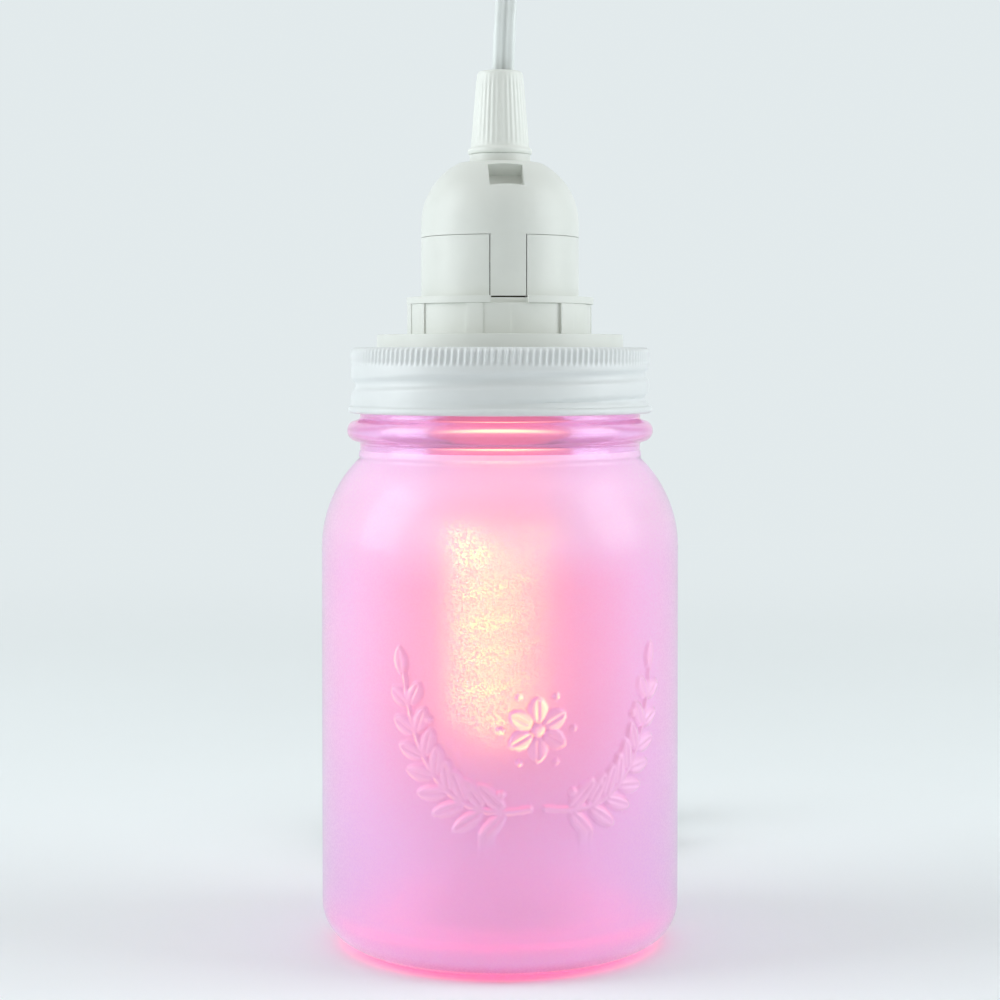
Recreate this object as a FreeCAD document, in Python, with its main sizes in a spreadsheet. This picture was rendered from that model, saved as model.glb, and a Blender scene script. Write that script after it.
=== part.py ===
"""Mason jar lantern: a glass jar whose screw band holds a lid with a corded lampholder and its bulb."""

import FreeCAD, Part
import math
import os
import Sketcher
from FreeCAD import Placement, Rotation, Vector

# Sizes in millimetres and degrees, by alias, with what each one measures.
# The jar stands on z = 0, on the Z axis, and is seen from -Y.
SIZES = {
    # Glass jar
    "jar_radius": (43.8, "outside of the jar's body"),
    "jar_height": (143.5, "table to the rim"),
    "jar_wall": (3.0, "glass of the body and shoulder"),
    "jar_floor": (5.0, "glass of the base"),
    "foot_rise": (1.5, "hollow under the base"),
    "foot_width": (4.0, "ring that the jar stands on"),
    "heel_curve": (10.0, "outside bend from base to body"),
    "inner_heel_curve": (7.0, "inside bend from base to body"),
    "shoulder_curve": (30.0, "outside bend of the shoulder"),
    "neck_radius": (34.4, "outside of the neck"),
    "neck_wall": (4.1, "glass of the neck"),
    "neck_straight": (4.1, "neck between shoulder and bead"),
    "rim_curve": (1.5, "rounding of the rim"),
    "bead_drop": (18.3, "rim to the middle of the bead round the neck"),
    "bead_curve": (2.65, "section radius of the bead"),
    "bead_rise": (3.2, "bead beyond the neck"),
    # Thread of jar and band
    "thread_pitch": (6.35, "rise in one turn"),
    "thread_drop": (13.7, "rim to where the jar's ridge starts"),
    "thread_turns": (1.5, "turns of the jar's ridge"),
    "band_thread_turns": (1.0, "turns of the band's ridge"),
    "thread_reach": (1.1, "height of the jar's ridge"),
    "thread_root": (2.6, "width of the jar's ridge at the neck"),
    "thread_crest": (1.2, "width of the jar's ridge at its top"),
    "thread_room": (0.45, "band's ridge to the neck"),
    # Screw band
    "band_clear": (0.65, "jar's ridge to the band's wall"),
    "band_sheet": (0.45, "thickness of the sheet"),
    "band_depth": (16.0, "height of the band"),
    "band_corner": (1.2, "bend from lip to wall"),
    "band_curl": (0.9, "section radius of the rolled edge"),
    "band_root": (3.4, "width of the rolled thread at the wall"),
    "band_crest": (1.4, "width of the rolled thread at its top"),
    "band_groove": (0.85, "depth of the rolled groove outside"),
    "band_room": (0.1, "lip to the lid"),
    # Lid
    "lid_flange": (1.5, "thickness of the lid's edge on the rim"),
    "lid_inset": (0.2, "lid's edge inside the neck's outside"),
    "lid_edge_width": (3.9, "lid's edge round the raised middle"),
    "lid_rise": (3.7, "raised middle above the edge"),
    "lid_wall": (1.8, "wall of the raised middle"),
    "lid_plate": (2.0, "plate of the raised middle"),
    "lip_room": (0.4, "raised middle to the band's lip"),
    # Lampholder
    "holder_turn": (6.0, "turn of the lampholder on the jar"),
    "sleeve_radius": (19.5, "outside of the threaded sleeve"),
    "sleeve_length": (21.6, "sleeve below the flange"),
    "holder_bore": (17.2, "inside of sleeve and skirt"),
    "shelf_bore": (15.2, "inside of the shelf that the carrier sits on"),
    "shelf_depth": (2.0, "height of that shelf"),
    "fit_room": (0.2, "clearance between parts of the lampholder"),
    "ring_wall": (3.3, "wall of a shade ring"),
    "ring_height": (7.4, "height of a shade ring"),
    "ring_grips": (6, "finger grips on a shade ring"),
    "grip_depth": (0.7, "depth of a finger grip"),
    "grip_angle": (33.0, "angle of a finger grip"),
    "grip_place": (47.0, "middle of the first finger grip"),
    "panel_depth": (0.25, "depth of a panel between the grips"),
    "panel_angle": (18.0, "angle of that panel"),
    "panel_place": (23.0, "middle of the first panel"),
    "flange_height": (1.7, "flange on the shade ring"),
    "skirt_radius": (19.35, "outside of skirt and cap"),
    "skirt_height": (14.6, "flange to the cap"),
    "seam": (0.1, "gap between skirt and cap"),
    "cap_straight": (3.5, "upright part of the cap"),
    "cap_height": (18.2, "seam to the cap's flat top"),
    "cap_wall": (2.2, "wall of the cap"),
    "dome_curve": (16.4, "outside bend of the dome"),
    "window_width": (8.4, "pocket in the dome"),
    "window_height": (7.4, "the same, along the dome"),
    "window_depth": (4.4, "depth of that pocket"),
    "window_wall": (1.6, "wall round that pocket"),
    "window_sink": (2.1, "dome's surface to that wall's solid"),
    "window_angle": (44.5, "middle of that pocket on the dome, above level"),
    "tongue_width": (8.6, "locking tongue of the cap"),
    "tongue_sheet": (1.9, "thickness of a tongue"),
    "tongue_slit": (0.4, "slit below a tongue"),
    "notch_ledge": (0.85, "skirt to the ledge in the flange's notch"),
    "collar_radius": (7.45, "neck of the cap"),
    "collar_height": (2.1, "height of that neck"),
    "stem_radius": (5.0, "threaded stem in the cord grip"),
    "stem_height": (7.0, "height of that stem"),
    "cord_room": (0.85, "hole for the cord, beyond half its width"),
    # Cord grip and its clamp
    "grip_bead_radius": (7.95, "bead at the foot of the grip"),
    "grip_bead_height": (1.7, "height of that bead"),
    "grip_base_radius": (7.1, "cone at its foot"),
    "grip_top_radius": (5.65, "cone at its top"),
    "grip_height": (20.5, "whole grip"),
    "grip_top_sheet": (2.0, "wall at the top of the grip"),
    "grip_top_curve": (0.9, "rounding of the grip's top"),
    "clamp_sheet": (0.8, "wall of the split clamp"),
    "clamp_split": (40.0, "angle of the clamp's split"),
    # Contacts
    "carrier_height": (6.0, "insulating carrier of the contacts"),
    "shell_sheet": (0.5, "sheet of the screw shell"),
    "shell_height": (23.0, "height of the screw shell"),
    "shell_hole": (5.0, "hole in the shell's top"),
    "contact_radius": (4.0, "head of the centre contact"),
    "contact_head": (0.6, "thickness of that head"),
    "contact_stem": (1.5, "stem of the centre contact"),
    "contact_lift": (0.7, "free travel above the head"),
    "strip_sheet": (1.0, "thickness of the terminal strips"),
    "strip_width": (7.0, "width of the terminal strips"),
    "strip_inner": (5.0, "near end of a strip from the axis"),
    "strip_outer": (13.2, "far end of a strip from the axis"),
    "screw_place": (7.6, "terminal screw from the axis"),
    "screw_shank": (1.4, "radius of the small screws"),
    "screw_head": (2.4, "radius of their heads"),
    "screw_head_height": (1.6, "height of their heads"),
    "screw_length": (5.0, "shank of a terminal screw"),
    "lead_radius": (1.0, "insulated lead"),
    "lead_place": (11.6, "foot of a lead from the axis"),
    "lead_start": (6.0, "straight start of a lead"),
    "lead_rise": (10.0, "upright foot of a lead"),
    # Bulb
    "base_radius": (13.1, "screw base of the bulb"),
    "base_length": (17.0, "length of that base"),
    "base_room": (0.3, "screw base to screw shell"),
    "insulator_height": (3.5, "glass insulator on the base"),
    "tip_radius": (4.6, "contact at the bulb's tip"),
    "tip_height": (1.5, "height of that contact"),
    "tip_room": (0.1, "bulb's tip to the centre contact"),
    "housing_radius": (18.0, "ballast housing of the bulb"),
    "housing_height": (33.5, "length of that housing"),
    "housing_neck": (12.6, "housing where it holds the base"),
    "housing_wall": (1.6, "wall of the housing"),
    "board_sheet": (1.6, "ballast board"),
    "tube_radius": (3.5, "lamp tube"),
    "spiral_radius": (10.25, "middle of the lamp tube's turns"),
    "spiral_lead": (16.0, "rise of one lamp tube turn"),
    "spiral_turns": (2.5, "turns of each leg of the tube"),
    "leg_length": (3.0, "straight start of each leg"),
    "leg_bend": (7.0, "height of the bend into the turns"),
    "apex_drop": (1.2, "crossing below the last turns"),
    # Cord
    "cord_width": (5.4, "flat twin cord"),
    "cord_thickness": (2.7, "the same, across"),
    "coil_radius": (41.0, "middle of the coil's outer turn"),
    "coil_pitch": (3.4, "from turn to turn"),
    "coil_layer": (5.9, "from layer to layer"),
    "coil_turns": (7, "turns in a layer"),
    "coil_layers": (2, "layers of the coil"),
    "tie_sheet": (0.6, "strip that ties the coil"),
    "tie_width": (6.0, "width of that strip"),
    "tie_room": (0.25, "strip to the cord"),
    # Switch on the cord
    "switch_width": (26.0, "across"),
    "switch_depth": (19.0, "front to back"),
    "switch_length": (58.0, "along the cord"),
    "switch_curve": (3.0, "rounding of its edges"),
    "switch_wall": (2.2, "wall of the switch"),
    "switch_end": (14.0, "solid ends round the cord"),
    "rocker_width": (11.4, "across"),
    "rocker_length": (19.0, "along the cord"),
    "rocker_room": (0.5, "rocker to its window"),
    "rocker_tilt": (9.0, "tilt when on"),
    "rocker_rise": (2.2, "ends of the rocker above its pin"),
    "rocker_crown": (0.7, "more at the ends than at the middle"),
    "rocker_depth": (3.0, "rocker below its pin"),
    "pin_depth": (3.4, "pin below the switch's face"),
    "pin_radius": (1.2, "rocker's pin"),
    "pin_room": (0.08, "pin to its hole"),
    "cheek": (3.0, "ear that holds the pin"),
    "switch_screw_inset": (5.0, "screw from the switch's side"),
    # Plug
    "plug_width": (24.0, "across both blades"),
    "plug_height": (14.0, "across one blade"),
    "plug_length": (20.0, "moulded body"),
    "plug_taper": (10.0, "strain relief"),
    "plug_curve": (2.0, "rounding of the plug's edges"),
    "blade_gap": (12.7, "from blade to blade"),
    "blade_sheet": (1.5, "thickness of a blade"),
    "blade_width": (6.35, "width of a blade"),
    "blade_length": (15.5, "blade outside the plug"),
    "blade_root": (6.0, "blade inside the plug"),
}

# The cord's route, in points chosen by hand: from the cap up through the grip, over and down to the switch,
# down from the switch, on to the coil along the table, and from the coil to the plug on top of it.
UPPER_ROUTE = [
    (0.6, 0.0, 190.0),
    (0.6, 0.0, 213.4),
    (1.9, 1.2, 237.0),
    (2.0, 18.2, 254.0),
    (1.9, 41.5, 254.0),
    (1.3, 57.5, 236.5),
    (0.9, 57.8, 213.5),
    (5.5, 56.5, 190.0),
    (5.5, 56.5, 167.0),
]
LOWER_ROUTE = [
    (5.5, 56.5, 109.0),
    (5.5, 56.5, 88.0),
    (6.2, 56.9, 64.0),
    (6.2, 56.9, 42.0),
]
LEAD_ROUTE = [
    (6.2, 56.9, 42.0),
    (6.2, 56.9, 33.0),
    (6.6, 56.6, 15.9),
    (-5.8, 56.5, 3.65),
    (-23.6, 56.5, 3.65),
    (-41.5, 74.4, 3.65),
    (-41.5, 94.6, 3.65),
]
TAIL_BENDS = [
    (0.0, 11.0, 0.0),
    (10.5, 25.5, 6.0),
    (25.5, 27.5, 10.2),
    (37.5, 27.5, 10.2),
]
ARC_SHARE = 0.45
COIL_STEP = math.pi / 2
FULL_TURN = 2 * math.pi

doc = FreeCAD.newDocument("MasonJarLantern")
sheet = doc.addObject("Spreadsheet::Sheet", "Sizes")
for row, (alias, (number, words)) in enumerate(SIZES.items(), start=1):
    sheet.set(f"A{row}", words)
    sheet.set(f"B{row}", str(number))
    sheet.setAlias(f"B{row}", alias)
doc.recompute()

subparts = []


def of(alias):
    """The expression that reads one size."""
    return f"Sizes.{alias}"


def value(expression):
    """The number that an expression gives now."""
    return float(sheet.evalExpression(str(expression)))


def size(alias):
    """The number in one cell."""
    return float(sheet.get(alias))


# Radii that the neck sets for what goes in and on it
MOUTH = f"({of('neck_radius')} - {of('neck_wall')})"
BAND_INSIDE = f"({of('neck_radius')} + {of('thread_reach')} + {of('band_clear')})"
BAND_WALL = f"({BAND_INSIDE} + {of('band_sheet')})"
LID_EDGE = f"({of('neck_radius')} - {of('lid_inset')})"
LID_BOSS = f"({LID_EDGE} - {of('lid_edge_width')})"

# Radii that the cord sets for what it passes through
CORD_BORE = f"({of('cord_width')} / 2 + {of('cord_room')})"
RING_BORE = f"({of('sleeve_radius')} + {of('fit_room')})"
RING_OUTSIDE = f"({RING_BORE} + {of('ring_wall')})"
CLAMP_OUTSIDE = f"({CORD_BORE} + {of('clamp_sheet')})"

# Heights that the pieces stack up to, each from the one below it
RIM = of("jar_height")
THREAD_START = f"({RIM} - {of('thread_drop')})"
BEAD = f"({RIM} - {of('bead_drop')})"
BEAD_HALF = f"sqrt({of('bead_curve')}^2 - ({of('bead_rise')} - {of('bead_curve')})^2)"
NECK_FOOT = f"({BEAD} - {BEAD_HALF} - {of('neck_straight')})"
SHOULDER_AXIS = f"({of('jar_radius')} - {of('shoulder_curve')})"
SHOULDER_RISE = f"sqrt({of('shoulder_curve')}^2 - ({of('neck_radius')} - {SHOULDER_AXIS})^2)"
SHOULDER = f"({NECK_FOOT} - {SHOULDER_RISE})"
LID_EDGE_TOP = f"({RIM} + {of('lid_flange')})"
LID_TOP = f"({LID_EDGE_TOP} + {of('lid_rise')})"
LID_UNDER = f"({LID_TOP} - {of('lid_plate')})"
BAND_TOP = f"({LID_EDGE_TOP} + {of('band_room')} + {of('band_sheet')})"
BAND_FOOT = f"({BAND_TOP} - {of('band_depth')})"
FLANGE_FOOT = f"({LID_TOP} + {of('ring_height')})"
FLANGE_TOP = f"({FLANGE_FOOT} + {of('flange_height')})"
SLEEVE_FOOT = f"({FLANGE_FOOT} - {of('sleeve_length')})"
SKIRT_TOP = f"({FLANGE_TOP} + {of('skirt_height')})"
CAP_FOOT = f"({SKIRT_TOP} + {of('seam')})"
DOME_FOOT = f"({CAP_FOOT} + {of('cap_straight')})"
CAP_TOP = f"({CAP_FOOT} + {of('cap_height')})"
COLLAR_TOP = f"({CAP_TOP} + {of('collar_height')})"
STEM_TOP = f"({COLLAR_TOP} + {of('stem_height')})"
GRIP_TOP = f"({COLLAR_TOP} + {of('grip_height')})"
CARRIER_FOOT = f"({FLANGE_TOP} + {of('shelf_depth')})"
CARRIER_TOP = f"({CARRIER_FOOT} + {of('carrier_height')})"
STRIP_TOP = f"({CARRIER_TOP} + {of('strip_sheet')})"
CONTACT_TOP = f"({CARRIER_FOOT} - {of('contact_lift')})"
CONTACT_FOOT = f"({CONTACT_TOP} - {of('contact_head')})"
TIP_TOP = f"({CONTACT_FOOT} - {of('tip_room')})"
TIP_FOOT = f"({TIP_TOP} - {of('tip_height')})"
BASE_TOP = f"({TIP_FOOT} - {of('insulator_height')})"
BASE_FOOT = f"({BASE_TOP} - {of('base_length')})"
HOUSING_FOOT = f"({BASE_FOOT} - {of('housing_height')})"
SHELL_BORE = f"({of('base_radius')} + {of('base_room')})"
TURNED = Placement(Vector(), Rotation(Vector(0, 0, 1), size("holder_turn")))


def new_body(label, placement=None):
    """A named sub-part that is built by sketches and features."""
    body = doc.addObject("PartDesign::Body", label)
    body.Label = label
    if placement:
        body.Placement = placement
    subparts.append(body)
    return body


def origin_item(body, role):
    """One of the body's own origin planes or axes."""
    return next(item for item in body.Origin.OriginFeatures if item.Role == role)


def arc_of(start, end, radius, turn, far):
    """The arc between two points, turning left (1) or right (-1), and whether it runs backwards."""
    across, up = end[0] - start[0], end[1] - start[1]
    chord = math.hypot(across, up)
    rise = math.sqrt(max(radius * radius - chord * chord / 4, 0.0)) * turn * (-1 if far else 1)
    centre = Vector(
        (start[0] + end[0]) / 2 - up / chord * rise,
        (start[1] + end[1]) / 2 + across / chord * rise,
        0,
    )
    first, last = (start, end) if turn > 0 else (end, start)
    angles = [math.atan2(point[1] - centre.y, point[0] - centre.x) for point in (first, last)]
    if angles[1] < angles[0]:
        angles[1] += FULL_TURN
    return Part.ArcOfCircle(Part.Circle(centre, Vector(0, 0, 1), radius), *angles), turn < 0


def outline(body, name, role, steps):
    """A closed sketch: a step (x, y) is a straight side to that point, a longer one an arc to it."""
    sketch = body.newObject("Sketcher::SketchObject", name)
    sketch.AttachmentSupport = (origin_item(body, role), "")
    sketch.MapMode = "FlatFace"
    corners = [(value(step[0]), value(step[1])) for step in steps]
    ends = []
    for here, step in enumerate(steps):
        start, end = corners[here - 1], corners[here]
        backwards = False
        if len(step) == 2:
            side = Part.LineSegment(Vector(*start, 0), Vector(*end, 0))
        else:
            side, backwards = arc_of(start, end, value(step[2]), step[3], len(step) == 5)
        sketch.addGeometry(side)
        ends.append((2, 1) if backwards else (1, 2))
    for here, step in enumerate(steps):
        following = (here + 1) % len(steps)
        last = ends[here][1]
        sketch.addConstraint(Sketcher.Constraint("Coincident", here, last, following, ends[following][0]))
        for kind, axis, expression in (("DistanceX", -2, step[0]), ("DistanceY", -1, step[1])):
            if expression == "0":
                sketch.addConstraint(Sketcher.Constraint("PointOnObject", here, last, axis))
                continue
            place = sketch.addConstraint(
                Sketcher.Constraint(kind, -1, 1, here, last, value(expression))
            )
            sketch.setExpression(f"Constraints[{place}]", expression)
        if len(step) > 2:
            place = sketch.addConstraint(Sketcher.Constraint("Radius", here, value(step[2])))
            sketch.setExpression(f"Constraints[{place}]", step[2])
    return sketch


def box_steps(left, low, right, high):
    """The steps of a rectangle."""
    return [(left, low), (right, low), (right, high), (left, high)]


def turned(body, name, steps, role="XZ_Plane", angle="360"):
    """An outline turned round the Z axis, evenly to both sides of its plane."""
    sketch = outline(body, f"{name}_outline", role, steps)
    feature = body.newObject("PartDesign::Revolution", name)
    feature.Profile = sketch
    feature.ReferenceAxis = (sketch, ["V_Axis"])
    feature.Midplane = True
    feature.setExpression("Angle", angle)
    return feature


def cut_through(body, name, steps, role="XZ_Plane"):
    """An outline cut through the whole piece, to both sides of its plane."""
    sketch = outline(body, f"{name}_outline", role, steps)
    feature = body.newObject("PartDesign::Pocket", name)
    feature.Profile = sketch
    feature.Type = "ThroughAll"
    feature.Midplane = True
    return feature


def round_pattern(body, name, feature, count):
    """Copies of a feature, evenly round the Z axis."""
    pattern = body.newObject("PartDesign::PolarPattern", name)
    pattern.Originals = [feature]
    pattern.Axis = (origin_item(body, "Z_Axis"), "")
    pattern.Angle = 360
    pattern.setExpression("Occurrences", count)
    body.Tip = pattern
    return pattern


def wind(body, kind, name, steps, turns):
    """An outline wound round the Z axis as a ridge (Additive) or a groove (Subtractive)."""
    sketch = outline(body, f"{name}_outline", "XZ_Plane", steps)
    feature = body.newObject(f"PartDesign::{kind}Helix", name)
    feature.Profile = sketch
    feature.ReferenceAxis = (sketch, ["V_Axis"])
    feature.Mode = "pitch-turns-angle"
    feature.setExpression("Pitch", of("thread_pitch"))
    feature.setExpression("Turns", turns)
    return feature


def solid(kind, name, sizes, label=None):
    """A primitive whose properties follow expressions."""
    item = doc.addObject(kind, name)
    for prop, expression in sizes.items():
        item.setExpression(prop, expression)
    if label:
        adopt(item, label)
    return item


def adopt(item, label, placement=None):
    """Makes an object one of the named sub-parts."""
    item.Label = label
    if placement:
        item.Placement = placement
    subparts.append(item)
    return item


def block(name, low, high):
    """A box from its lowest to its highest corner."""
    sizes = {}
    for prop, axis, start, end in zip(("Length", "Width", "Height"), "xyz", low, high):
        sizes[prop] = f"({end}) - ({start})"
        sizes[f"Placement.Base.{axis}"] = start
    return solid("Part::Box", name, sizes)


def rod(name, centre, radius, length, axis="z"):
    """A round bar along an axis, from its foot."""
    item = solid(
        "Part::Cylinder",
        name,
        {"Radius": radius, "Height": length} | {f"Placement.Base.{a}": c for a, c in zip("xyz", centre)},
    )
    turns = {"x": Rotation(Vector(0, 1, 0), 90), "y": Rotation(Vector(1, 0, 0), -90), "z": Rotation()}
    item.Placement.Rotation = turns[axis]
    return item


def joined(name, pieces):
    """Pieces of one moulding."""
    item = doc.addObject("Part::MultiFuse", name)
    item.Shapes = pieces
    item.Refine = True
    return item


def cut(name, base, tools):
    """A piece less the tools, one after the other."""
    for place, tool in enumerate(tools):
        item = doc.addObject("Part::Cut", f"{name}_{place}")
        item.Base = base
        item.Tool = tool
        base = item
    return base


def grouped(label, pieces, placement=None):
    """Separate solids that share one name."""
    item = doc.addObject("Part::Compound", label)
    item.Links = pieces
    return adopt(item, label, placement)


def eased(name, item, radius):
    """A piece with all its edges rounded."""
    doc.recompute()
    feature = doc.addObject("Part::Fillet", name)
    feature.Base = item
    feature.Edges = [(number + 1, radius, radius) for number in range(len(item.Shape.Edges))]
    return feature


def glass_jar():
    """The blown jar: footed base, straight body, round shoulder, neck with its bead, and the thread."""
    inner_curve = f"({of('shoulder_curve')} - {of('jar_wall')})"
    mouth_foot = f"{SHOULDER} + sqrt({inner_curve}^2 - ({MOUTH} - {SHOULDER_AXIS})^2)"
    foot_edge = f"({of('jar_radius')} - {of('heel_curve')})"
    inside = f"({of('jar_radius')} - {of('jar_wall')})"
    floor_edge = f"({inside} - {of('inner_heel_curve')})"
    floor_top = f"({of('foot_rise')} + {of('jar_floor')})"
    rim_side = f"{RIM} - {of('rim_curve')}"
    body = new_body("glass_jar")
    turned(
        body,
        "jar_glass",
        [
            ("0", of("foot_rise")),
            (f"{foot_edge} - {of('foot_width')} - {of('foot_rise')}", of("foot_rise")),
            (f"{foot_edge} - {of('foot_width')}", "0"),
            (foot_edge, "0"),
            (of("jar_radius"), of("heel_curve"), of("heel_curve"), 1),
            (of("jar_radius"), SHOULDER),
            (of("neck_radius"), NECK_FOOT, of("shoulder_curve"), 1),
            (of("neck_radius"), f"{BEAD} - {BEAD_HALF}"),
            (of("neck_radius"), f"{BEAD} + {BEAD_HALF}", of("bead_curve"), 1, "far"),
            (of("neck_radius"), rim_side),
            (f"{of('neck_radius')} - {of('rim_curve')}", RIM, of("rim_curve"), 1),
            (f"{MOUTH} + {of('rim_curve')}", RIM),
            (MOUTH, rim_side, of("rim_curve"), 1),
            (MOUTH, mouth_foot),
            (inside, SHOULDER, inner_curve, -1),
            (inside, f"{floor_top} + {of('inner_heel_curve')}"),
            (floor_edge, floor_top, of("inner_heel_curve"), -1),
            ("0", floor_top),
        ],
    )
    foot = f"({THREAD_START} - {of('thread_root')} / 2)"
    step = f"(({of('thread_root')} - {of('thread_crest')}) / 2)"
    crest = f"{of('neck_radius')} + {of('thread_reach')}"
    buried = f"{of('neck_radius')} - {of('thread_reach')} / 2"
    wind(
        body,
        "Additive",
        "jar_thread",
        [
            (buried, foot),
            (crest, f"{foot} + {step}"),
            (crest, f"{foot} + {step} + {of('thread_crest')}"),
            (buried, f"{foot} + {of('thread_root')}"),
        ],
        of("thread_turns"),
    )


def screw_band():
    """The sheet band: flat lip, wall, rolled edge, and the thread rolled into the wall."""
    lip = f"({LID_BOSS} + {of('lip_room')})"
    curl = of("band_curl")
    body = new_body("screw_band")
    turned(
        body,
        "band_sheet_form",
        [
            (lip, BAND_TOP),
            (lip, f"{BAND_TOP} - {of('band_sheet')}"),
            (BAND_INSIDE, f"{BAND_TOP} - {of('band_sheet')}"),
            (BAND_INSIDE, BAND_FOOT),
            (BAND_WALL, BAND_FOOT),
            (f"{BAND_WALL} + {curl}", f"{BAND_FOOT} + {curl}", curl, 1),
            (BAND_WALL, f"{BAND_FOOT} + 2 * {curl}", curl, 1),
            (BAND_WALL, f"{BAND_TOP} - {of('band_corner')}"),
            (f"{BAND_WALL} - {of('band_corner')}", BAND_TOP, of("band_corner"), 1),
        ],
    )
    middle = f"({THREAD_START} + {of('thread_pitch')} / 2)"
    crest = f"{of('neck_radius')} + {of('thread_room')}"
    buried = f"{BAND_INSIDE} + {of('band_sheet')} / 2"
    wind(
        body,
        "Additive",
        "band_ridge",
        [
            (crest, f"{middle} - {of('band_crest')} / 2"),
            (buried, f"{middle} - {of('band_root')} / 2"),
            (buried, f"{middle} + {of('band_root')} / 2"),
            (crest, f"{middle} + {of('band_crest')} / 2"),
        ],
        of("band_thread_turns"),
    )
    floor = f"{BAND_WALL} - {of('band_groove')}"
    open_side = f"{BAND_WALL} + {of('band_groove')} / 4"
    wind(
        body,
        "Subtractive",
        "band_groove_form",
        [
            (floor, f"{middle} - {of('band_crest')} / 4"),
            (open_side, f"{middle} - {of('band_root')} / 2 + {of('band_sheet')}"),
            (open_side, f"{middle} + {of('band_root')} / 2 - {of('band_sheet')}"),
            (floor, f"{middle} + {of('band_crest')} / 4"),
        ],
        of("band_thread_turns"),
    )


def lid_insert():
    """The lid: an edge that the band holds on the rim, and a raised middle with the lampholder's hole."""
    boss_inside = f"({LID_BOSS} - {of('lid_wall')})"
    body = new_body("lid_insert")
    turned(
        body,
        "lid_form",
        [
            (LID_EDGE, RIM),
            (LID_EDGE, LID_EDGE_TOP),
            (LID_BOSS, LID_EDGE_TOP),
            (LID_BOSS, LID_TOP),
            (RING_BORE, LID_TOP),
            (RING_BORE, LID_UNDER),
            (boss_inside, LID_UNDER),
            (boss_inside, RIM),
        ],
    )


def shade_ring(label, foot):
    """A ring screwed on the sleeve, with finger grips cut into its outside."""
    body = new_body(label, TURNED)
    turned(
        body,
        f"{label}_form",
        box_steps(RING_BORE, foot, RING_OUTSIDE, f"{foot} + {of('ring_height')}"),
    )
    for name, place, angle, depth in (
        ("grip", of("grip_place"), of("grip_angle"), of("grip_depth")),
        ("panel", of("panel_place"), of("panel_angle"), of("panel_depth")),
    ):
        floor = f"({RING_OUTSIDE} - {depth})"
        clear = f"(({RING_OUTSIDE} + {depth}) / cos({angle} / 2))"
        low, high = f"({place} - {angle} / 2)", f"({place} + {angle} / 2)"
        steps = [
            (f"{clear} * cos({low})", f"{clear} * sin({low})"),
            (f"{clear} * cos({high})", f"{clear} * sin({high})"),
            (f"{floor} * cos({high})", f"{floor} * sin({high})"),
            (f"{floor} * cos({low})", f"{floor} * sin({low})", floor, -1),
        ]
        sunk = cut_through(body, f"{label}_{name}", steps, "XY_Plane")
        round_pattern(body, f"{label}_{name}s", sunk, of("ring_grips"))


def socket_body():
    """The lampholder's outer shell: sleeve, flange, skirt with its tongue slots, and the carrier's shelf."""
    body = new_body("socket_body", TURNED)
    turned(
        body,
        "socket_form",
        [
            (of("holder_bore"), SLEEVE_FOOT),
            (of("sleeve_radius"), SLEEVE_FOOT),
            (of("sleeve_radius"), FLANGE_FOOT),
            (RING_OUTSIDE, FLANGE_FOOT),
            (RING_OUTSIDE, FLANGE_TOP),
            (of("skirt_radius"), FLANGE_TOP),
            (of("skirt_radius"), SKIRT_TOP),
            (of("holder_bore"), SKIRT_TOP),
            (of("holder_bore"), CARRIER_FOOT),
            (of("shelf_bore"), CARRIER_FOOT),
            (of("shelf_bore"), FLANGE_TOP),
            (of("holder_bore"), f"{FLANGE_TOP} - ({of('holder_bore')} - {of('shelf_bore')})"),
        ],
    )
    half = f"({of('tongue_width')} / 2 + {of('fit_room')})"
    slot_foot = f"{FLANGE_TOP} - {of('tongue_slit')}"
    slot_top = f"{SKIRT_TOP} + {of('cap_wall')}"
    cut_through(body, "tongue_slots", box_steps(f"-{half}", slot_foot, half, slot_top))
    ledge = f"{of('skirt_radius')} + {of('notch_ledge')}"
    clear = f"{RING_OUTSIDE} + {of('flange_height')}"
    notch = cut_through(body, "notch", box_steps(f"-{half}", ledge, half, clear), "XY_Plane")
    round_pattern(body, "notches", notch, "2")


def on_dome(centre, out, along):
    """The place, in a section of the cap, so far out from the dome's centre and so far along its surface."""
    cos, sin = f"cos({of('window_angle')})", f"sin({of('window_angle')})"
    across = f"{centre} + ({out}) * {cos} - ({along}) * {sin}"
    return across, f"{DOME_FOOT} + ({out}) * {sin} + ({along}) * {cos}"


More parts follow.
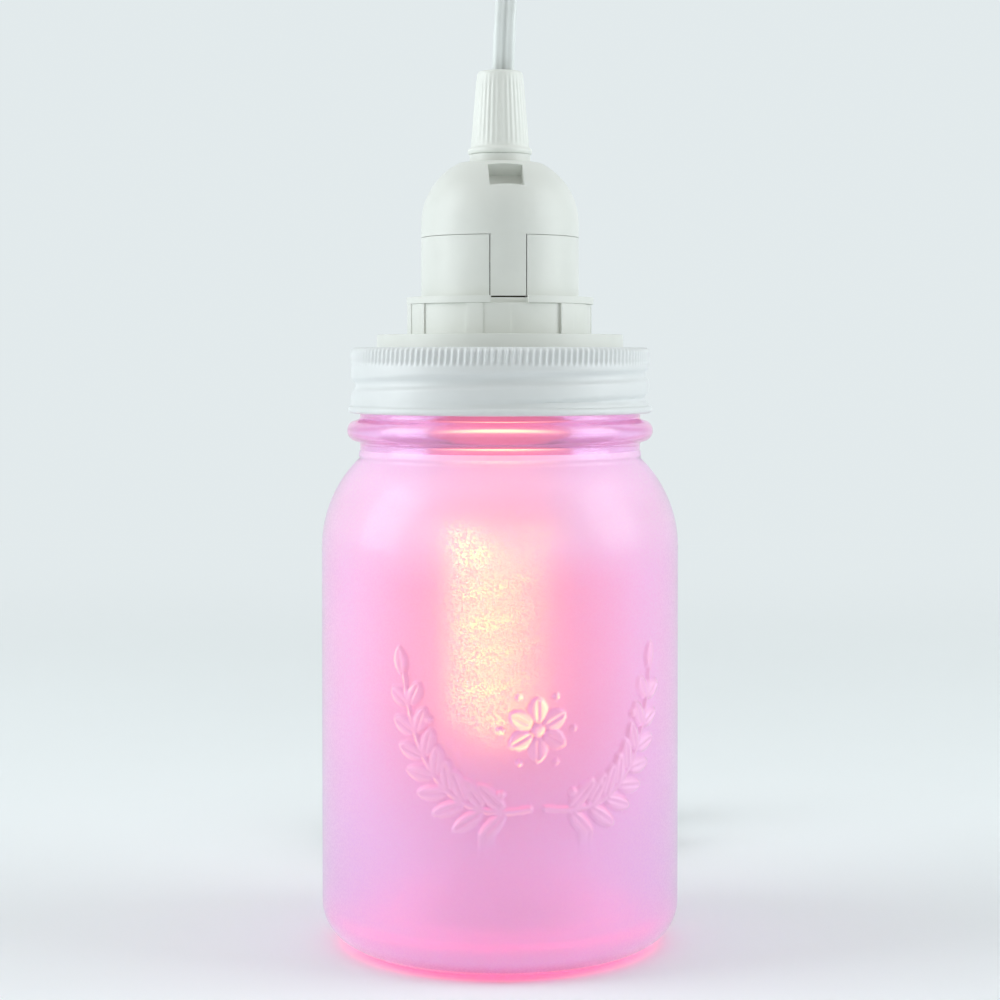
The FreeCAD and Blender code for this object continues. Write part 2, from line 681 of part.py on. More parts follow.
def socket_cap():
    """The domed cap with its neck, threaded stem, two windows and two locking tongues."""
    centre = f"({of('skirt_radius')} - {of('dome_curve')})"
    rise = f"({of('cap_height')} - {of('cap_straight')})"
    top_edge = f"{centre} + sqrt({of('dome_curve')}^2 - {rise}^2)"
    inner_curve = f"({of('dome_curve')} - {of('cap_wall')})"
    inner_edge = f"{centre} + sqrt({inner_curve}^2 - ({rise} - {of('cap_wall')})^2)"
    inside = f"({of('skirt_radius')} - {of('cap_wall')})"
    body = new_body("socket_cap", TURNED)
    turned(
        body,
        "cap_form",
        [
            (inside, CAP_FOOT),
            (of("skirt_radius"), CAP_FOOT),
            (of("skirt_radius"), DOME_FOOT),
            (top_edge, CAP_TOP, of("dome_curve"), 1),
            (of("collar_radius"), CAP_TOP),
            (of("collar_radius"), COLLAR_TOP),
            (of("stem_radius"), COLLAR_TOP),
            (of("stem_radius"), STEM_TOP),
            (CORD_BORE, STEM_TOP),
            (CORD_BORE, f"{CAP_TOP} - {of('cap_wall')}"),
            (inner_edge, f"{CAP_TOP} - {of('cap_wall')}"),
            (inside, DOME_FOOT, inner_curve, -1),
        ],
    )
    depth, wall = of("window_depth"), of("window_wall")
    surface, half = of("dome_curve"), f"({of('window_height')} / 2)"
    for kind, name, low, high, side, width in (
        (
            "Pad",
            "pocket_wall",
            f"{surface} - {depth} - {wall}",
            f"{surface} - {of('window_sink')}",
            f"({half} + {wall})",
            f"{of('window_width')} + 2 * {wall}",
        ),
        ("Pocket", "pocket", f"{surface} - {depth}", f"{surface} + {wall}", half, of("window_width")),
    ):
        corners = ((low, f"-{side}"), (high, f"-{side}"), (high, side), (low, side))
        steps = [on_dome(centre, out, along) for out, along in corners]
        feature = body.newObject(f"PartDesign::{kind}", name)
        feature.Profile = outline(body, f"{name}_outline", "YZ_Plane", steps)
        feature.Midplane = True
        feature.setExpression("Length", width)
        round_pattern(body, f"{name}s", feature, "2")
    face = f"({of('skirt_radius')} - {of('seam')})"
    tongue = turned(
        body,
        "tongue",
        box_steps(
            f"{face} - {of('tongue_sheet')}",
            FLANGE_TOP,
            face,
            f"{CAP_FOOT} + {of('cap_wall')}",
        ),
        "YZ_Plane",
        f"2 * asin({of('tongue_width')} / (2 * {face}))",
    )
    round_pattern(body, "tongues", tongue, "2")


def cord_grip():
    """The cone nut on the cap's stem: bead, tapered wall, and a rounded top with the cord's hole."""
    stem_bore = f"({of('stem_radius')} + {of('fit_room')})"
    top_bore = f"({CLAMP_OUTSIDE} + {of('fit_room')})"
    bead_top = f"{COLLAR_TOP} + {of('grip_bead_height')}"
    shelf = f"{STEM_TOP} + {of('fit_room')}"
    under_top = f"{GRIP_TOP} - {of('grip_top_sheet')}"
    body = new_body("cord_grip", TURNED)
    turned(
        body,
        "grip_form",
        [
            (stem_bore, COLLAR_TOP),
            (of("grip_bead_radius"), COLLAR_TOP),
            (of("grip_bead_radius"), bead_top),
            (of("grip_base_radius"), bead_top),
            (of("grip_top_radius"), f"{GRIP_TOP} - {of('grip_top_curve')}"),
            (f"{of('grip_top_radius')} - {of('grip_top_curve')}", GRIP_TOP, of("grip_top_curve"), 1),
            (CORD_BORE, GRIP_TOP),
            (CORD_BORE, under_top),
            (top_bore, under_top),
            (top_bore, shelf),
            (stem_bore, shelf),
        ],
    )


def cord_clamp():
    """The split sleeve that the grip presses on the cord."""
    body = new_body("cord_clamp", TURNED)
    turned(
        body,
        "clamp_form",
        box_steps(CORD_BORE, STEM_TOP, CLAMP_OUTSIDE, f"{GRIP_TOP} - {of('grip_top_sheet')}"),
        angle=f"360 - {of('clamp_split')}",
    )


def contacts():
    """The carrier in the skirt, the screw shell and centre contact below it, and the terminals on top."""
    inner, outer = of("strip_inner"), of("strip_outer")
    half = f"({of('strip_width')} / 2)"
    riser = f"({outer} - {of('strip_sheet')})"
    room = of("fit_room")
    foot = ("0", "0", CARRIER_FOOT)
    carrier = rod("carrier_disc", foot, f"{of('holder_bore')} - {room}", of("carrier_height"))
    stem_hole = rod("stem_hole", foot, f"{of('contact_stem')} + {room}", of("carrier_height"))
    riser_hole = block(
        "riser_hole",
        (f"-{outer} - {room}", f"-{half} - {room}", CARRIER_FOOT),
        (f"-{riser} + {room}", f"{half} + {room}", CARRIER_TOP),
    )
    screw_foot = f"{STRIP_TOP} - {of('screw_length')}"
    holes = [
        rod(
            f"terminal_hole_{side}",
            (f"{sign}{of('screw_place')}", "0", screw_foot),
            f"{of('screw_shank')} + {room} / 2",
            of("screw_length"),
        )
        for side, sign in (("line", ""), ("neutral", "-"))
    ]
    adopt(cut("carrier", carrier, [stem_hole, riser_hole, *holes]), "contact_carrier", TURNED)

    shell = new_body("screw_shell", TURNED)
    shell_foot = f"{CARRIER_FOOT} - {of('shell_height')}"
    shell_outside = f"({SHELL_BORE} + {of('shell_sheet')})"
    turned(
        shell,
        "shell_form",
        [
            (SHELL_BORE, shell_foot),
            (shell_outside, shell_foot),
            (shell_outside, CARRIER_FOOT),
            (of("shell_hole"), CARRIER_FOOT),
            (of("shell_hole"), f"{CARRIER_FOOT} - {of('shell_sheet')}"),
            (SHELL_BORE, f"{CARRIER_FOOT} - {of('shell_sheet')}"),
        ],
    )

    plunger = new_body("centre_contact", TURNED)
    turned(
        plunger,
        "plunger_form",
        [
            ("0", CONTACT_FOOT),
            (of("contact_radius"), CONTACT_FOOT),
            (of("contact_radius"), CONTACT_TOP),
            (of("contact_stem"), CONTACT_TOP),
            (of("contact_stem"), STRIP_TOP),
            ("0", STRIP_TOP),
        ],
    )

    line = block("line_strip", (inner, f"-{half}", CARRIER_TOP), (outer, half, STRIP_TOP))
    adopt(cut("line", line, [holes[0]]), "line_contact", TURNED)
    pad = block("neutral_pad", (f"-{outer}", f"-{half}", CARRIER_TOP), (f"-{inner}", half, STRIP_TOP))
    upright = block(
        "neutral_riser", (f"-{outer}", f"-{half}", CARRIER_FOOT), (f"-{riser}", half, CARRIER_TOP)
    )
    adopt(cut("neutral", joined("neutral_strip", [pad, upright]), [holes[1]]), "neutral_contact", TURNED)

    screws = []
    for side, sign in (("line", ""), ("neutral", "-")):
        place = f"{sign}{of('screw_place')}"
        head = rod(f"{side}_head", (place, "0", STRIP_TOP), of("screw_head"), of("screw_head_height"))
        shank = rod(f"{side}_shank", (place, "0", screw_foot), of("screw_shank"), of("screw_length"))
        screws.append(joined(f"{side}_screw", [head, shank]))
    grouped("terminal_screws", screws, TURNED)


def bulb():
    """The screw-in bulb: base, insulator, tip, ballast housing with its board, and the spiral tube."""
    base = new_body("bulb_screw_base")
    turned(
        base,
        "base_form",
        [
            ("0", BASE_FOOT),
            (of("base_radius"), BASE_FOOT),
            (of("base_radius"), f"{BASE_TOP} - {of('tip_height')}"),
            (f"{of('base_radius')} - {of('tip_height')}", BASE_TOP),
            ("0", BASE_TOP),
        ],
    )
    insulator = new_body("bulb_base_insulator")
    turned(
        insulator,
        "insulator_form",
        [
            ("0", BASE_TOP),
            (f"{of('base_radius')} - 2 * {of('tip_height')}", BASE_TOP),
            (of("tip_radius"), TIP_FOOT),
            ("0", TIP_FOOT),
        ],
    )
    tip = new_body("bulb_tip_contact")
    turned(
        tip,
        "tip_form",
        [
            ("0", TIP_FOOT),
            (of("tip_radius"), TIP_FOOT),
            (f"{of('tip_radius')} - {of('tip_height')}", TIP_TOP, of("tip_height"), 1),
            ("0", TIP_TOP),
        ],
    )
    wall = of("housing_wall")
    neck_foot = f"({BASE_FOOT} - {of('housing_height')} / 6)"
    taper_foot = f"({BASE_FOOT} - {of('housing_height')} / 3)"
    edge = f"(2 * {wall})"
    housing = new_body("bulb_housing")
    turned(
        housing,
        "housing_form",
        [
            ("0", HOUSING_FOOT),
            (f"{of('housing_radius')} - {edge}", HOUSING_FOOT),
            (of("housing_radius"), f"{HOUSING_FOOT} + {edge}", edge, 1),
            (of("housing_radius"), taper_foot),
            (of("housing_neck"), neck_foot),
            (of("housing_neck"), BASE_FOOT),
            (f"{of('housing_neck')} - {wall}", BASE_FOOT),
            (f"{of('housing_neck')} - {wall}", neck_foot),
            (f"{of('housing_radius')} - {wall}", taper_foot),
            (f"{of('housing_radius')} - {wall}", f"{HOUSING_FOOT} + {edge}"),
            ("0", f"{HOUSING_FOOT} + {edge}"),
        ],
    )
    board_foot = f"{HOUSING_FOOT} + 2 * {wall}"
    board_radius = f"{of('housing_radius')} - {wall} - {of('fit_room')}"
    adopt(rod("board", ("0", "0", board_foot), board_radius, of("board_sheet")), "ballast_board")
    lamp_tube()


def corner_arc(start, corner, end):
    """The arc from start to end whose tangents meet at a corner, or a straight run if they are in line."""
    toward, away = corner - start, end - corner
    half_turn = toward.getAngle(away) / 2
    if half_turn < 1e-6:
        return Part.LineSegment(start, end).toShape(), math.inf
    radius = toward.Length / math.tan(half_turn)
    inward = (away.normalize() - toward.normalize()).normalize()
    middle = corner + inward * (radius / math.cos(half_turn) - radius)
    return Part.Arc(start, middle, end).toShape(), radius


def rounded_route(points):
    """Straight runs joined by tangent arcs, each as large as its two runs allow, and the arcs' radii."""
    points = [Vector(*point) for point in points]
    edges, radii = [], []
    here = points[0]
    for before, corner, after in zip(points, points[1:], points[2:]):
        back = ARC_SHARE * min((corner - before).Length, (after - corner).Length)
        start = corner + (before - corner).normalize() * back
        end = corner + (after - corner).normalize() * back
        arc, radius = corner_arc(start, corner, end)
        edges += [Part.LineSegment(here, start).toShape(), arc]
        radii.append(radius)
        here = end
    edges.append(Part.LineSegment(here, points[-1]).toShape())
    return Part.Wire(edges), radii


def biarc(start, heading, end, end_heading):
    """Two arcs with equal legs that join two points and their headings smoothly."""
    span, both = end - start, heading + end_heading
    bend = 2 * (1 - heading.dot(end_heading))
    along = span.dot(both)
    leg = span.dot(span) / (2 * along) if bend < 1e-9 else (
        math.sqrt(along * along + bend * span.dot(span)) - along
    ) / bend
    first, second = start + heading * leg, end - end_heading * leg
    middle = (first + second) / 2
    return [corner_arc(start, first, middle)[0], corner_arc(middle, second, end)[0]]


def wound_path(stations, lead=0.0):
    """Biarcs through points and headings, with a straight run of one length at both ends."""
    edges = []
    if lead:
        point, heading = stations[0]
        edges.append(Part.LineSegment(point - heading * lead, point).toShape())
    for (point, heading), (end, end_heading) in zip(stations, stations[1:]):
        edges += biarc(point, heading, end, end_heading)
    if lead:
        point, heading = stations[-1]
        edges.append(Part.LineSegment(point, point + heading * lead).toShape())
    return Part.Wire(edges)


def piped(path, section):
    """One unbroken solid of a section carried along a path."""
    return path.makePipeShell([section], True, False)


def twin_section(point, heading, width_way):
    """The flat twin cord's section: two straight sides and two half-round edges."""
    across = heading.cross(width_way).normalize()
    half = size("cord_thickness") / 2
    reach = size("cord_width") / 2 - half
    corners = [
        point + width_way * (reach * w) + across * (half * t) for w, t in ((-1, -1), (1, -1), (1, 1), (-1, 1))
    ]
    tips = [point + width_way * (size("cord_width") / 2 * w) for w in (1, -1)]
    return Part.Wire(
        [
            Part.LineSegment(corners[0], corners[1]).toShape(),
            Part.Arc(corners[1], tips[0], corners[2]).toShape(),
            Part.LineSegment(corners[2], corners[3]).toShape(),
            Part.Arc(corners[3], tips[1], corners[0]).toShape(),
        ]
    )


def cord_area():
    """The area of the twin cord's section."""
    thickness = size("cord_thickness")
    return math.pi * thickness**2 / 4 + thickness * (size("cord_width") - thickness)


def shaped(label, shape, placement=None):
    """A sub-part whose shape is set directly."""
    item = doc.addObject("Part::Feature", label)
    item.Shape = shape
    return adopt(item, label, placement)


def cord_run(label, points, width_way):
    """A free stretch of cord along its route."""
    path, radii = rounded_route(points)
    start = Vector(*points[0])
    heading = (Vector(*points[1]) - start).normalize()
    width_way = (width_way - heading * width_way.dot(heading)).normalize()
    item = shaped(label, piped(path, twin_section(start, heading, width_way)))
    share = item.Shape.Volume / (cord_area() * path.Length)
    print(f"{label}: {path.Length:.0f} mm, volume share {share:.4f}, radii", [round(radius, 1) for radius in radii])
    return path.Length


def coil_stations(centre, first_angle, foot):
    """Points and headings of the coil, clockwise: layer on layer, in and out at a steady rate."""
    rate = size("coil_pitch") / FULL_TURN
    layer_sweep = FULL_TURN * size("coil_turns")
    cycle = layer_sweep + math.pi
    layers = int(size("coil_layers"))
    last = FULL_TURN * int((cycle * layers - math.pi) / FULL_TURN + 1e-9)
    sweeps = [COIL_STEP * step for step in range(round(last / COIL_STEP) + 1)]

    def place(sweep):
        layer = int(sweep // cycle)
        inside = sweep - layer * cycle
        climb = min(max((inside - layer_sweep) / math.pi, 0.0), 1.0)
        turn_back = layer_sweep + math.pi / 2
        drawn = inside if inside <= turn_back else 2 * turn_back - inside
        drawn = drawn if layer % 2 == 0 else layer_sweep - drawn
        radius = size("coil_radius") - rate * drawn
        angle = first_angle - sweep
        height = foot + size("coil_layer") * (layer + climb * climb * (3 - 2 * climb))
        return centre + Vector(radius * math.cos(angle), radius * math.sin(angle), height)

    nudge = 1e-4
    stations = []
    for sweep in sweeps:
        heading = place(min(sweep + nudge, last)) - place(max(sweep - nudge, 0.0))
        stations.append((place(sweep), heading.normalize()))
    return stations


def least_gap(path, skip):
    """The least gap between turns of an upright flat cord, measured on points along its middle."""
    spacing = 1.0
    points = path.discretize(Number=int(path.Length / spacing))
    upright = size("cord_width") - size("cord_thickness")
    away = int(skip / spacing)
    least = math.inf
    for number, point in enumerate(points):
        for other in points[number + away :]:
            level = math.hypot(point.x - other.x, point.y - other.y)
            rise = max(abs(point.z - other.z) - upright, 0.0)
            least = min(least, math.hypot(level, rise))
    return least - size("cord_thickness")


def cord():
    """The cord's free stretches, its coil with the tie, and its end in the plug."""
    up = Vector(0, 0, 1)
    total = cord_run("cord_drop_upper", UPPER_ROUTE, Vector(1, 0, 0))
    total += cord_run("cord_drop_lower", LOWER_ROUTE, Vector(1, 0, 0))

    total += cord_run("cord_lead", LEAD_ROUTE, Vector(1, 0, 0))

    start = Vector(*LEAD_ROUTE[-1])
    heading = (start - Vector(*LEAD_ROUTE[-2])).normalize()
    lead = size("cord_width")
    rightward = heading.cross(up)
    entry = start + heading * lead
    centre = entry + rightward * size("coil_radius")
    first_angle = math.atan2(-rightward.y, -rightward.x)
    foot = start.z
    centre.z = 0
    stations = coil_stations(centre, first_angle, foot)
    stations[0] = (entry, heading)
    stations[-1] = (stations[-1][0], heading)
    path = wound_path(stations, lead)
    coil = shaped("cord_coil", piped(path, twin_section(start, heading, up)))
    share = coil.Shape.Volume / (cord_area() * path.Length)
    gap = least_gap(path, 6 * size("cord_width"))
    print(f"cord_coil: {path.Length:.0f} mm, volume share {share:.4f}, least gap {gap:.2f} mm")
    total += path.Length

    leaving = stations[-1][0] + heading * lead
    tail = [leaving] + [leaving + Vector(*bend) for bend in TAIL_BENDS]
    total += cord_run("cord_tail", [tuple(point) for point in tail], up)
    print(f"cord: {total:.0f} mm in its solids, and the switch on it")
    coil_tie(centre, foot)
    plug(tail[-1])


def coil_tie(centre, foot):
    """The strip round all turns of the coil, on its side away from the entry."""
    room = size("tie_room")
    sheet_width = size("tie_sheet")
    inner_turn = size("coil_radius") - size("coil_pitch") * (size("coil_turns") + 0.25)
    near = centre.x + inner_turn - size("cord_thickness") / 2 - room
    outer_turn = size("coil_radius") - size("coil_pitch") * 0.4
    far = centre.x + outer_turn + size("cord_thickness") / 2 + room
    half = size("tie_width") / 2
    low = foot - size("cord_width") / 2 - room
    high = foot + size("coil_layer") * (size("coil_layers") - 1) + size("cord_width") / 2 + room
    inside = Part.makeBox(far - near, 2 * half, high - low, Vector(near, centre.y - half, low))
    outside = Part.makeBox(
        far - near + 2 * sheet_width,
        2 * half,
        high - low + 2 * sheet_width,
        Vector(near - sheet_width, centre.y - half, low - sheet_width),
    )
    shaped("coil_tie", outside.cut(inside))


def plug(entry):
    """The moulded plug lying on the coil, its tapered end at the cord, and two flat blades."""
    half_width, half_height = f"{of('plug_width')} / 2", f"{of('plug_height')} / 2"
    cord_half = f"0.75 * {of('cord_width')}"
    x, y, z = (str(round(part, 3)) for part in entry)
    front = f"{x} + {of('plug_taper')}"
    shell = block(
        "plug_block",
        (front, f"{y} - {half_width}", f"{z} - {half_height}"),
        (f"{front} + {of('plug_length')}", f"{y} + {half_width}", f"{z} + {half_height}"),
    )
    relief = solid(
        "Part::Wedge",
        "plug_relief",
        {
            "Xmin": f"-{half_width}", "Xmax": half_width, "Ymin": "0", "Ymax": of("plug_taper"),
            "Zmin": f"-{half_height}", "Zmax": half_height,
            "X2min": f"-{cord_half}", "X2max": cord_half, "Z2min": f"-{cord_half}", "Z2max": cord_half,
            "Placement.Base.x": front, "Placement.Base.y": y, "Placement.Base.z": z,
        },
    )
    relief.Placement.Rotation = Rotation(Vector(0, 0, 1), 90)
    moulding = joined("plug_moulding", [eased("plug_eased", shell, size("plug_curve")), relief])
    face = f"{front} + {of('plug_length')}"
    blades = [
        block(
            f"blade_{side}",
            (
                f"{face} - {of('blade_root')}",
                f"{y} {sign} {of('blade_gap')} / 2 - {of('blade_sheet')} / 2",
                f"{z} - {of('blade_width')} / 2",
            ),
            (
                f"{face} + {of('blade_length')}",
                f"{y} {sign} {of('blade_gap')} / 2 + {of('blade_sheet')} / 2",
                f"{z} + {of('blade_width')} / 2",
            ),
        )
        for side, sign in (("left", "+"), ("right", "-"))
    ]
    adopt(cut("plug", moulding, blades), "plug_body")
    grouped("plug_blades", blades)


def leads():
    """The two insulated leads from the end of the cord to the terminal strips."""
    top = Vector(*UPPER_ROUTE[0])
    foot = value(STRIP_TOP)
    for label, side in (("line_lead", 1), ("neutral_lead", -1)):
        start = top.x + side * size("cord_thickness") / 2
        points = [
            (start, top.y, top.z),
            (start, top.y, top.z - size("lead_start")),
            (side * size("lead_place"), 0, foot + size("lead_rise")),
            (side * size("lead_place"), 0, foot),
        ]
        path, _ = rounded_route(points)
        section = Part.Wire(Part.makeCircle(size("lead_radius"), Vector(*points[0]), Vector(0, 0, 1)))
        shaped(label, piped(path, section))


def switch():
    """The rocker switch on the hanging cord: two half shells, rocker on its pin, contacts and screws."""
    top, foot = Vector(*UPPER_ROUTE[-1]), Vector(*LOWER_ROUTE[0])
    x, y = str(top.x), str(top.y)
    low, high = str(foot.z), str(top.z)
    half_width, half_depth = f"{of('switch_width')} / 2", f"{of('switch_depth')} / 2"
    wall, end = of("switch_wall"), of("switch_end")
    face = f"({y} + {half_depth})"
    back = f"({y} - {half_depth})"
    middle = f"({foot.z} + {top.z}) / 2"
    pin_place = f"({face} - {of('pin_depth')})"
    whole = block("switch_block", (f"{x} - {half_width}", back, low), (f"{x} + {half_width}", face, high))
    rounded = eased("switch_eased", whole, size("switch_curve"))
    cavity = block(
        "switch_cavity",
        (f"{x} - {half_width} + {wall}", f"{back} + {wall}", f"{low} + {end}"),
        (f"{x} + {half_width} - {wall}", f"{face} - {wall}", f"{high} - {end}"),
    )
    hollow = cut("switch_hollow", rounded, [cavity])
    window_half = f"({of('rocker_width')} / 2 + {of('rocker_room')})"
    window_reach = f"({of('rocker_length')} / 2 + {of('rocker_room')})"
    window = block(
        "rocker_window",
        (f"{x} - {window_half}", y, f"{middle} - {window_reach}"),
        (f"{x} + {window_half}", f"{face} + {wall}", f"{middle} + {window_reach}"),
    )
    ears = [
        block(
            f"ear_{side}",
            (f"{x} + {near}", f"{pin_place} - {of('cheek')}", f"{middle} - {of('cheek')}"),
            (f"{x} + {far}", f"{face} - {wall} / 2", f"{middle} + {of('cheek')}"),
        )
        for side, near, far in (
            ("right", window_half, f"{window_half} + {of('cheek')}"),
            ("left", f"-{window_half} - {of('cheek')}", f"-{window_half}"),
        )
    ]
    pin_half = f"({window_half} + {of('cheek')})"
    pin_hole = rod(
        "pin_hole",
        (f"{x} - {pin_half}", pin_place, middle),
        f"{of('pin_radius')} + {of('pin_room')}",
        f"2 * {pin_half}",
        "x",
    )
    screws, holes = [], []
    places = (
        (f"{x} + {half_width} - {of('switch_screw_inset')}", f"{high} - {end} / 2"),
        (f"{x} - {half_width} + {of('switch_screw_inset')}", f"{low} + {end} / 2"),
    )
    length = f"({of('switch_depth')} - {of('pin_depth')})"
    for number, (across, height) in enumerate(places):
        base = (across, back, height)
        head = rod(f"switch_head_{number}", base, of("screw_head"), of("screw_head_height"), "y")
        shank = rod(f"switch_shank_{number}", base, of("screw_shank"), length, "y")
        screws.append(joined(f"switch_screw_{number}", [head, shank]))
        room = of("fit_room")
        head_hole = rod(
            f"head_hole_{number}", base, f"{of('screw_head')} + {room}", of("screw_head_height"), "y"
        )
        shank_hole = rod(f"shank_hole_{number}", base, f"{of('screw_shank')} + {room} / 2", length, "y")
        holes.append(joined(f"switch_hole_{number}", [head_hole, shank_hole]))
    far_half = block("far_half", (f"{x} - {half_width}", y, low), (f"{x} + {half_width}", face, high))
    cover = doc.addObject("Part::Common", "switch_cover_half")
    cover.Base, cover.Tool = hollow, far_half
    cover = cut("switch_cover", joined("cover_with_ears", [cover, *ears]), [window, pin_hole, *holes])
    adopt(cover, "switch_cover")
    adopt(cut("switch_base", cut("base_half", hollow, [far_half]), holes), "switch_base")
    grouped("switch_screws", screws)

    contact_foot = f"{back} + {wall}"
    contact_top = f"{contact_foot} + {of('strip_sheet')}"
    strips = [
        block(
            f"switch_strip_{side}",
            (f"{x} - {of('strip_width')} / 2", contact_foot, start),
            (f"{x} + {of('strip_width')} / 2", contact_top, stop),
        )
        for side, start, stop in (
            ("upper", f"{middle} + {of('strip_sheet')}", f"{high} - {end}"),
            ("lower", f"{low} + {end}", f"{middle} - {of('strip_sheet')}"),
        )
    ]
    grouped("switch_contacts", strips)

    rocker = new_body("switch_rocker")
    reach = f"({of('rocker_length')} / 2)"
    rise, crown = of("rocker_rise"), of("rocker_crown")
    sketch = outline(
        rocker,
        "rocker_outline",
        "YZ_Plane",
        [
            (f"{rise}", f"-{reach}"),
            (f"{rise} - {crown}", "0"),
            (f"{rise}", reach),
            (f"-{of('rocker_depth')} / 3", reach),
            (f"-{of('rocker_depth')}", "0"),
            (f"-{of('rocker_depth')} / 3", f"-{reach}"),
        ],
    )
    pad = rocker.newObject("PartDesign::Pad", "rocker_form")
    pad.Profile = sketch
    pad.Midplane = True
    pad.setExpression("Length", of("rocker_width"))
    pin_sketch = rocker.newObject("Sketcher::SketchObject", "pin_outline")
    pin_sketch.AttachmentSupport = (origin_item(rocker, "YZ_Plane"), "")
    pin_sketch.MapMode = "FlatFace"
    pin_sketch.addGeometry(Part.Circle(Vector(), Vector(0, 0, 1), size("pin_radius")))
    pin_sketch.addConstraint(Sketcher.Constraint("Coincident", 0, 3, -1, 1))
    place = pin_sketch.addConstraint(Sketcher.Constraint("Radius", 0, size("pin_radius")))
    pin_sketch.setExpression(f"Constraints[{place}]", of("pin_radius"))
    pin = rocker.newObject("PartDesign::Pad", "rocker_pin")
    pin.Profile = pin_sketch
    pin.Midplane = True
    pin.setExpression("Length", f"2 * ({pin_half} - {of('rocker_room')})")
    rocker.Placement = Placement(
        Vector(top.x, value(pin_place), value(middle)), Rotation(Vector(1, 0, 0), size("rocker_tilt"))
    )


def lamp_tube():
    """The spiral tube: two legs wound down side by side, which cross under the axis."""
    radius, lead = size("spiral_radius"), size("spiral_lead")
    quarters = round(4 * size("spiral_turns"))
    top = value(HOUSING_FOOT)
    bend_top = top - size("leg_length")
    turns_top = bend_top - size("leg_bend")
    down = Vector(0, 0, -1)
    slope = lead / FULL_TURN / radius
    bend_sweep = math.pi / 3

    def on_turns(sweep):
        out = Vector(math.cos(-sweep), math.sin(-sweep), 0)
        heading = Vector(out.y, -out.x, -slope).normalize()
        height = turns_top - lead * (sweep - bend_sweep) / FULL_TURN
        return out * radius + Vector(0, 0, height), heading

    leg = [(Vector(radius, 0, top), down), (Vector(radius, 0, bend_top), down)]
    leg += [on_turns(bend_sweep + quarter * math.pi / 2) for quarter in range(quarters + 1)]
    end, _ = leg[-1]
    out = Vector(end.x, end.y, 0).normalize()
    side = Vector(-out.y, out.x, 0)
    crossing = Vector(0, 0, end.z - size("apex_drop"))
    quarter_way = (out - side) * (radius / 2) + Vector(0, 0, end.z - 0.7 * size("apex_drop"))
    leg.append((quarter_way, (out * -1 + down * slope / 2).normalize()))
    half_turn = Rotation(Vector(0, 0, 1), 180)
    back = [(half_turn.multVec(point), half_turn.multVec(heading) * -1) for point, heading in reversed(leg)]
    path = wound_path([*leg, (crossing, side), *back])
    section = Part.Wire(Part.makeCircle(size("tube_radius"), leg[0][0], down))
    item = shaped("bulb_tube", piped(path, section))
    share = item.Shape.Volume / (math.pi * size("tube_radius") ** 2 * path.Length)
    print(f"bulb_tube: {path.Length:.0f} mm, volume share {share:.4f}")


glass_jar()
screw_band()
lid_insert()
shade_ring("upper_shade_ring", LID_TOP)
shade_ring("lower_shade_ring", f"({LID_UNDER} - {of('ring_height')})")
socket_body()
socket_cap()
cord_grip()
cord_clamp()
contacts()
bulb()
leads()
cord()
switch()
doc.recompute()

for item in doc.Objects:
    if "Invalid" in item.State or "Error" in item.State:
        raise RuntimeError(f"{item.Label} failed: {item.State}")
for item in subparts:
    if item.Shape.isNull() or not item.Shape.isValid() or not item.Shape.Solids:
        raise RuntimeError(f"{item.Label} has no valid solid")

os.makedirs("parts", exist_ok=True)
for item in subparts:
    item.Shape.exportStep(os.path.join("parts", f"{item.Label}.step"))
print(f"{len(subparts)} sub-parts written")
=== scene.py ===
"""Looks of a mason jar lantern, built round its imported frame: jar, screw band, lampholder, bulb and cord."""

import itertools
import math

import bpy
import numpy as np
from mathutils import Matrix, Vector


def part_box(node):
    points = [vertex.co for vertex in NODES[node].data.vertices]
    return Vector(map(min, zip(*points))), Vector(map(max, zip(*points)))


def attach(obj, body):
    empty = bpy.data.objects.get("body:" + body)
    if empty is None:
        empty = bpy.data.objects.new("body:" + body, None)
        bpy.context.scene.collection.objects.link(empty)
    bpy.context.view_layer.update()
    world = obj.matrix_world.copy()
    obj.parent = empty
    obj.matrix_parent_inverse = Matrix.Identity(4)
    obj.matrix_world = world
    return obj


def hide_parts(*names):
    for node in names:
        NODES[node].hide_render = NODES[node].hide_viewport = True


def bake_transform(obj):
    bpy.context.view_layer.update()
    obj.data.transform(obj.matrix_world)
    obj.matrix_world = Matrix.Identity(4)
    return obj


bl_info = {
    "name": "Mason Jar Lantern",
    "version": (1, 0, 0),
    "blender": (4, 5, 0),
    "location": "View3D > Sidebar > Lantern",
    "description": "Dresses the frame of a frosted jar lantern and sets up its studio",
    "category": "Object",
}

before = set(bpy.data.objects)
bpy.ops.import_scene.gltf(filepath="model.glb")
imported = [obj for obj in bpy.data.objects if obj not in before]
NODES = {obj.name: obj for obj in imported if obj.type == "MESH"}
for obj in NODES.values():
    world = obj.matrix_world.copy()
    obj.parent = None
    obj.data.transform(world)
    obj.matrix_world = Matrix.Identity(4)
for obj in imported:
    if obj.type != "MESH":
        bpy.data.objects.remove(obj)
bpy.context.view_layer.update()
MM = 0.001
TURN = 2 * math.pi

# Lowest and highest corners that the frame gives, in metres
JAR_LOW, JAR_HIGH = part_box("glass_jar")
BAND_LOW, BAND_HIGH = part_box("screw_band")
GRIP_LOW, GRIP_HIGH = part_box("cord_grip")


# Sizes and colours that a user would change


def length(name, words, default):
    """A length in metres for a settings panel."""
    return bpy.props.FloatProperty(name=name, description=words, default=default, unit="LENGTH", precision=5)


def amount(name, words, default):
    """A plain number for a settings panel."""
    return bpy.props.FloatProperty(name=name, description=words, default=default, subtype="FACTOR")


def count(name, words, default):
    """A whole number for a settings panel."""
    return bpy.props.IntProperty(name=name, description=words, default=default, min=1)


def colour(name, words, default):
    """A linear colour for a settings panel."""
    return bpy.props.FloatVectorProperty(
        name=name, description=words, default=default, size=3, min=0.0, max=1.0, subtype="COLOR"
    )


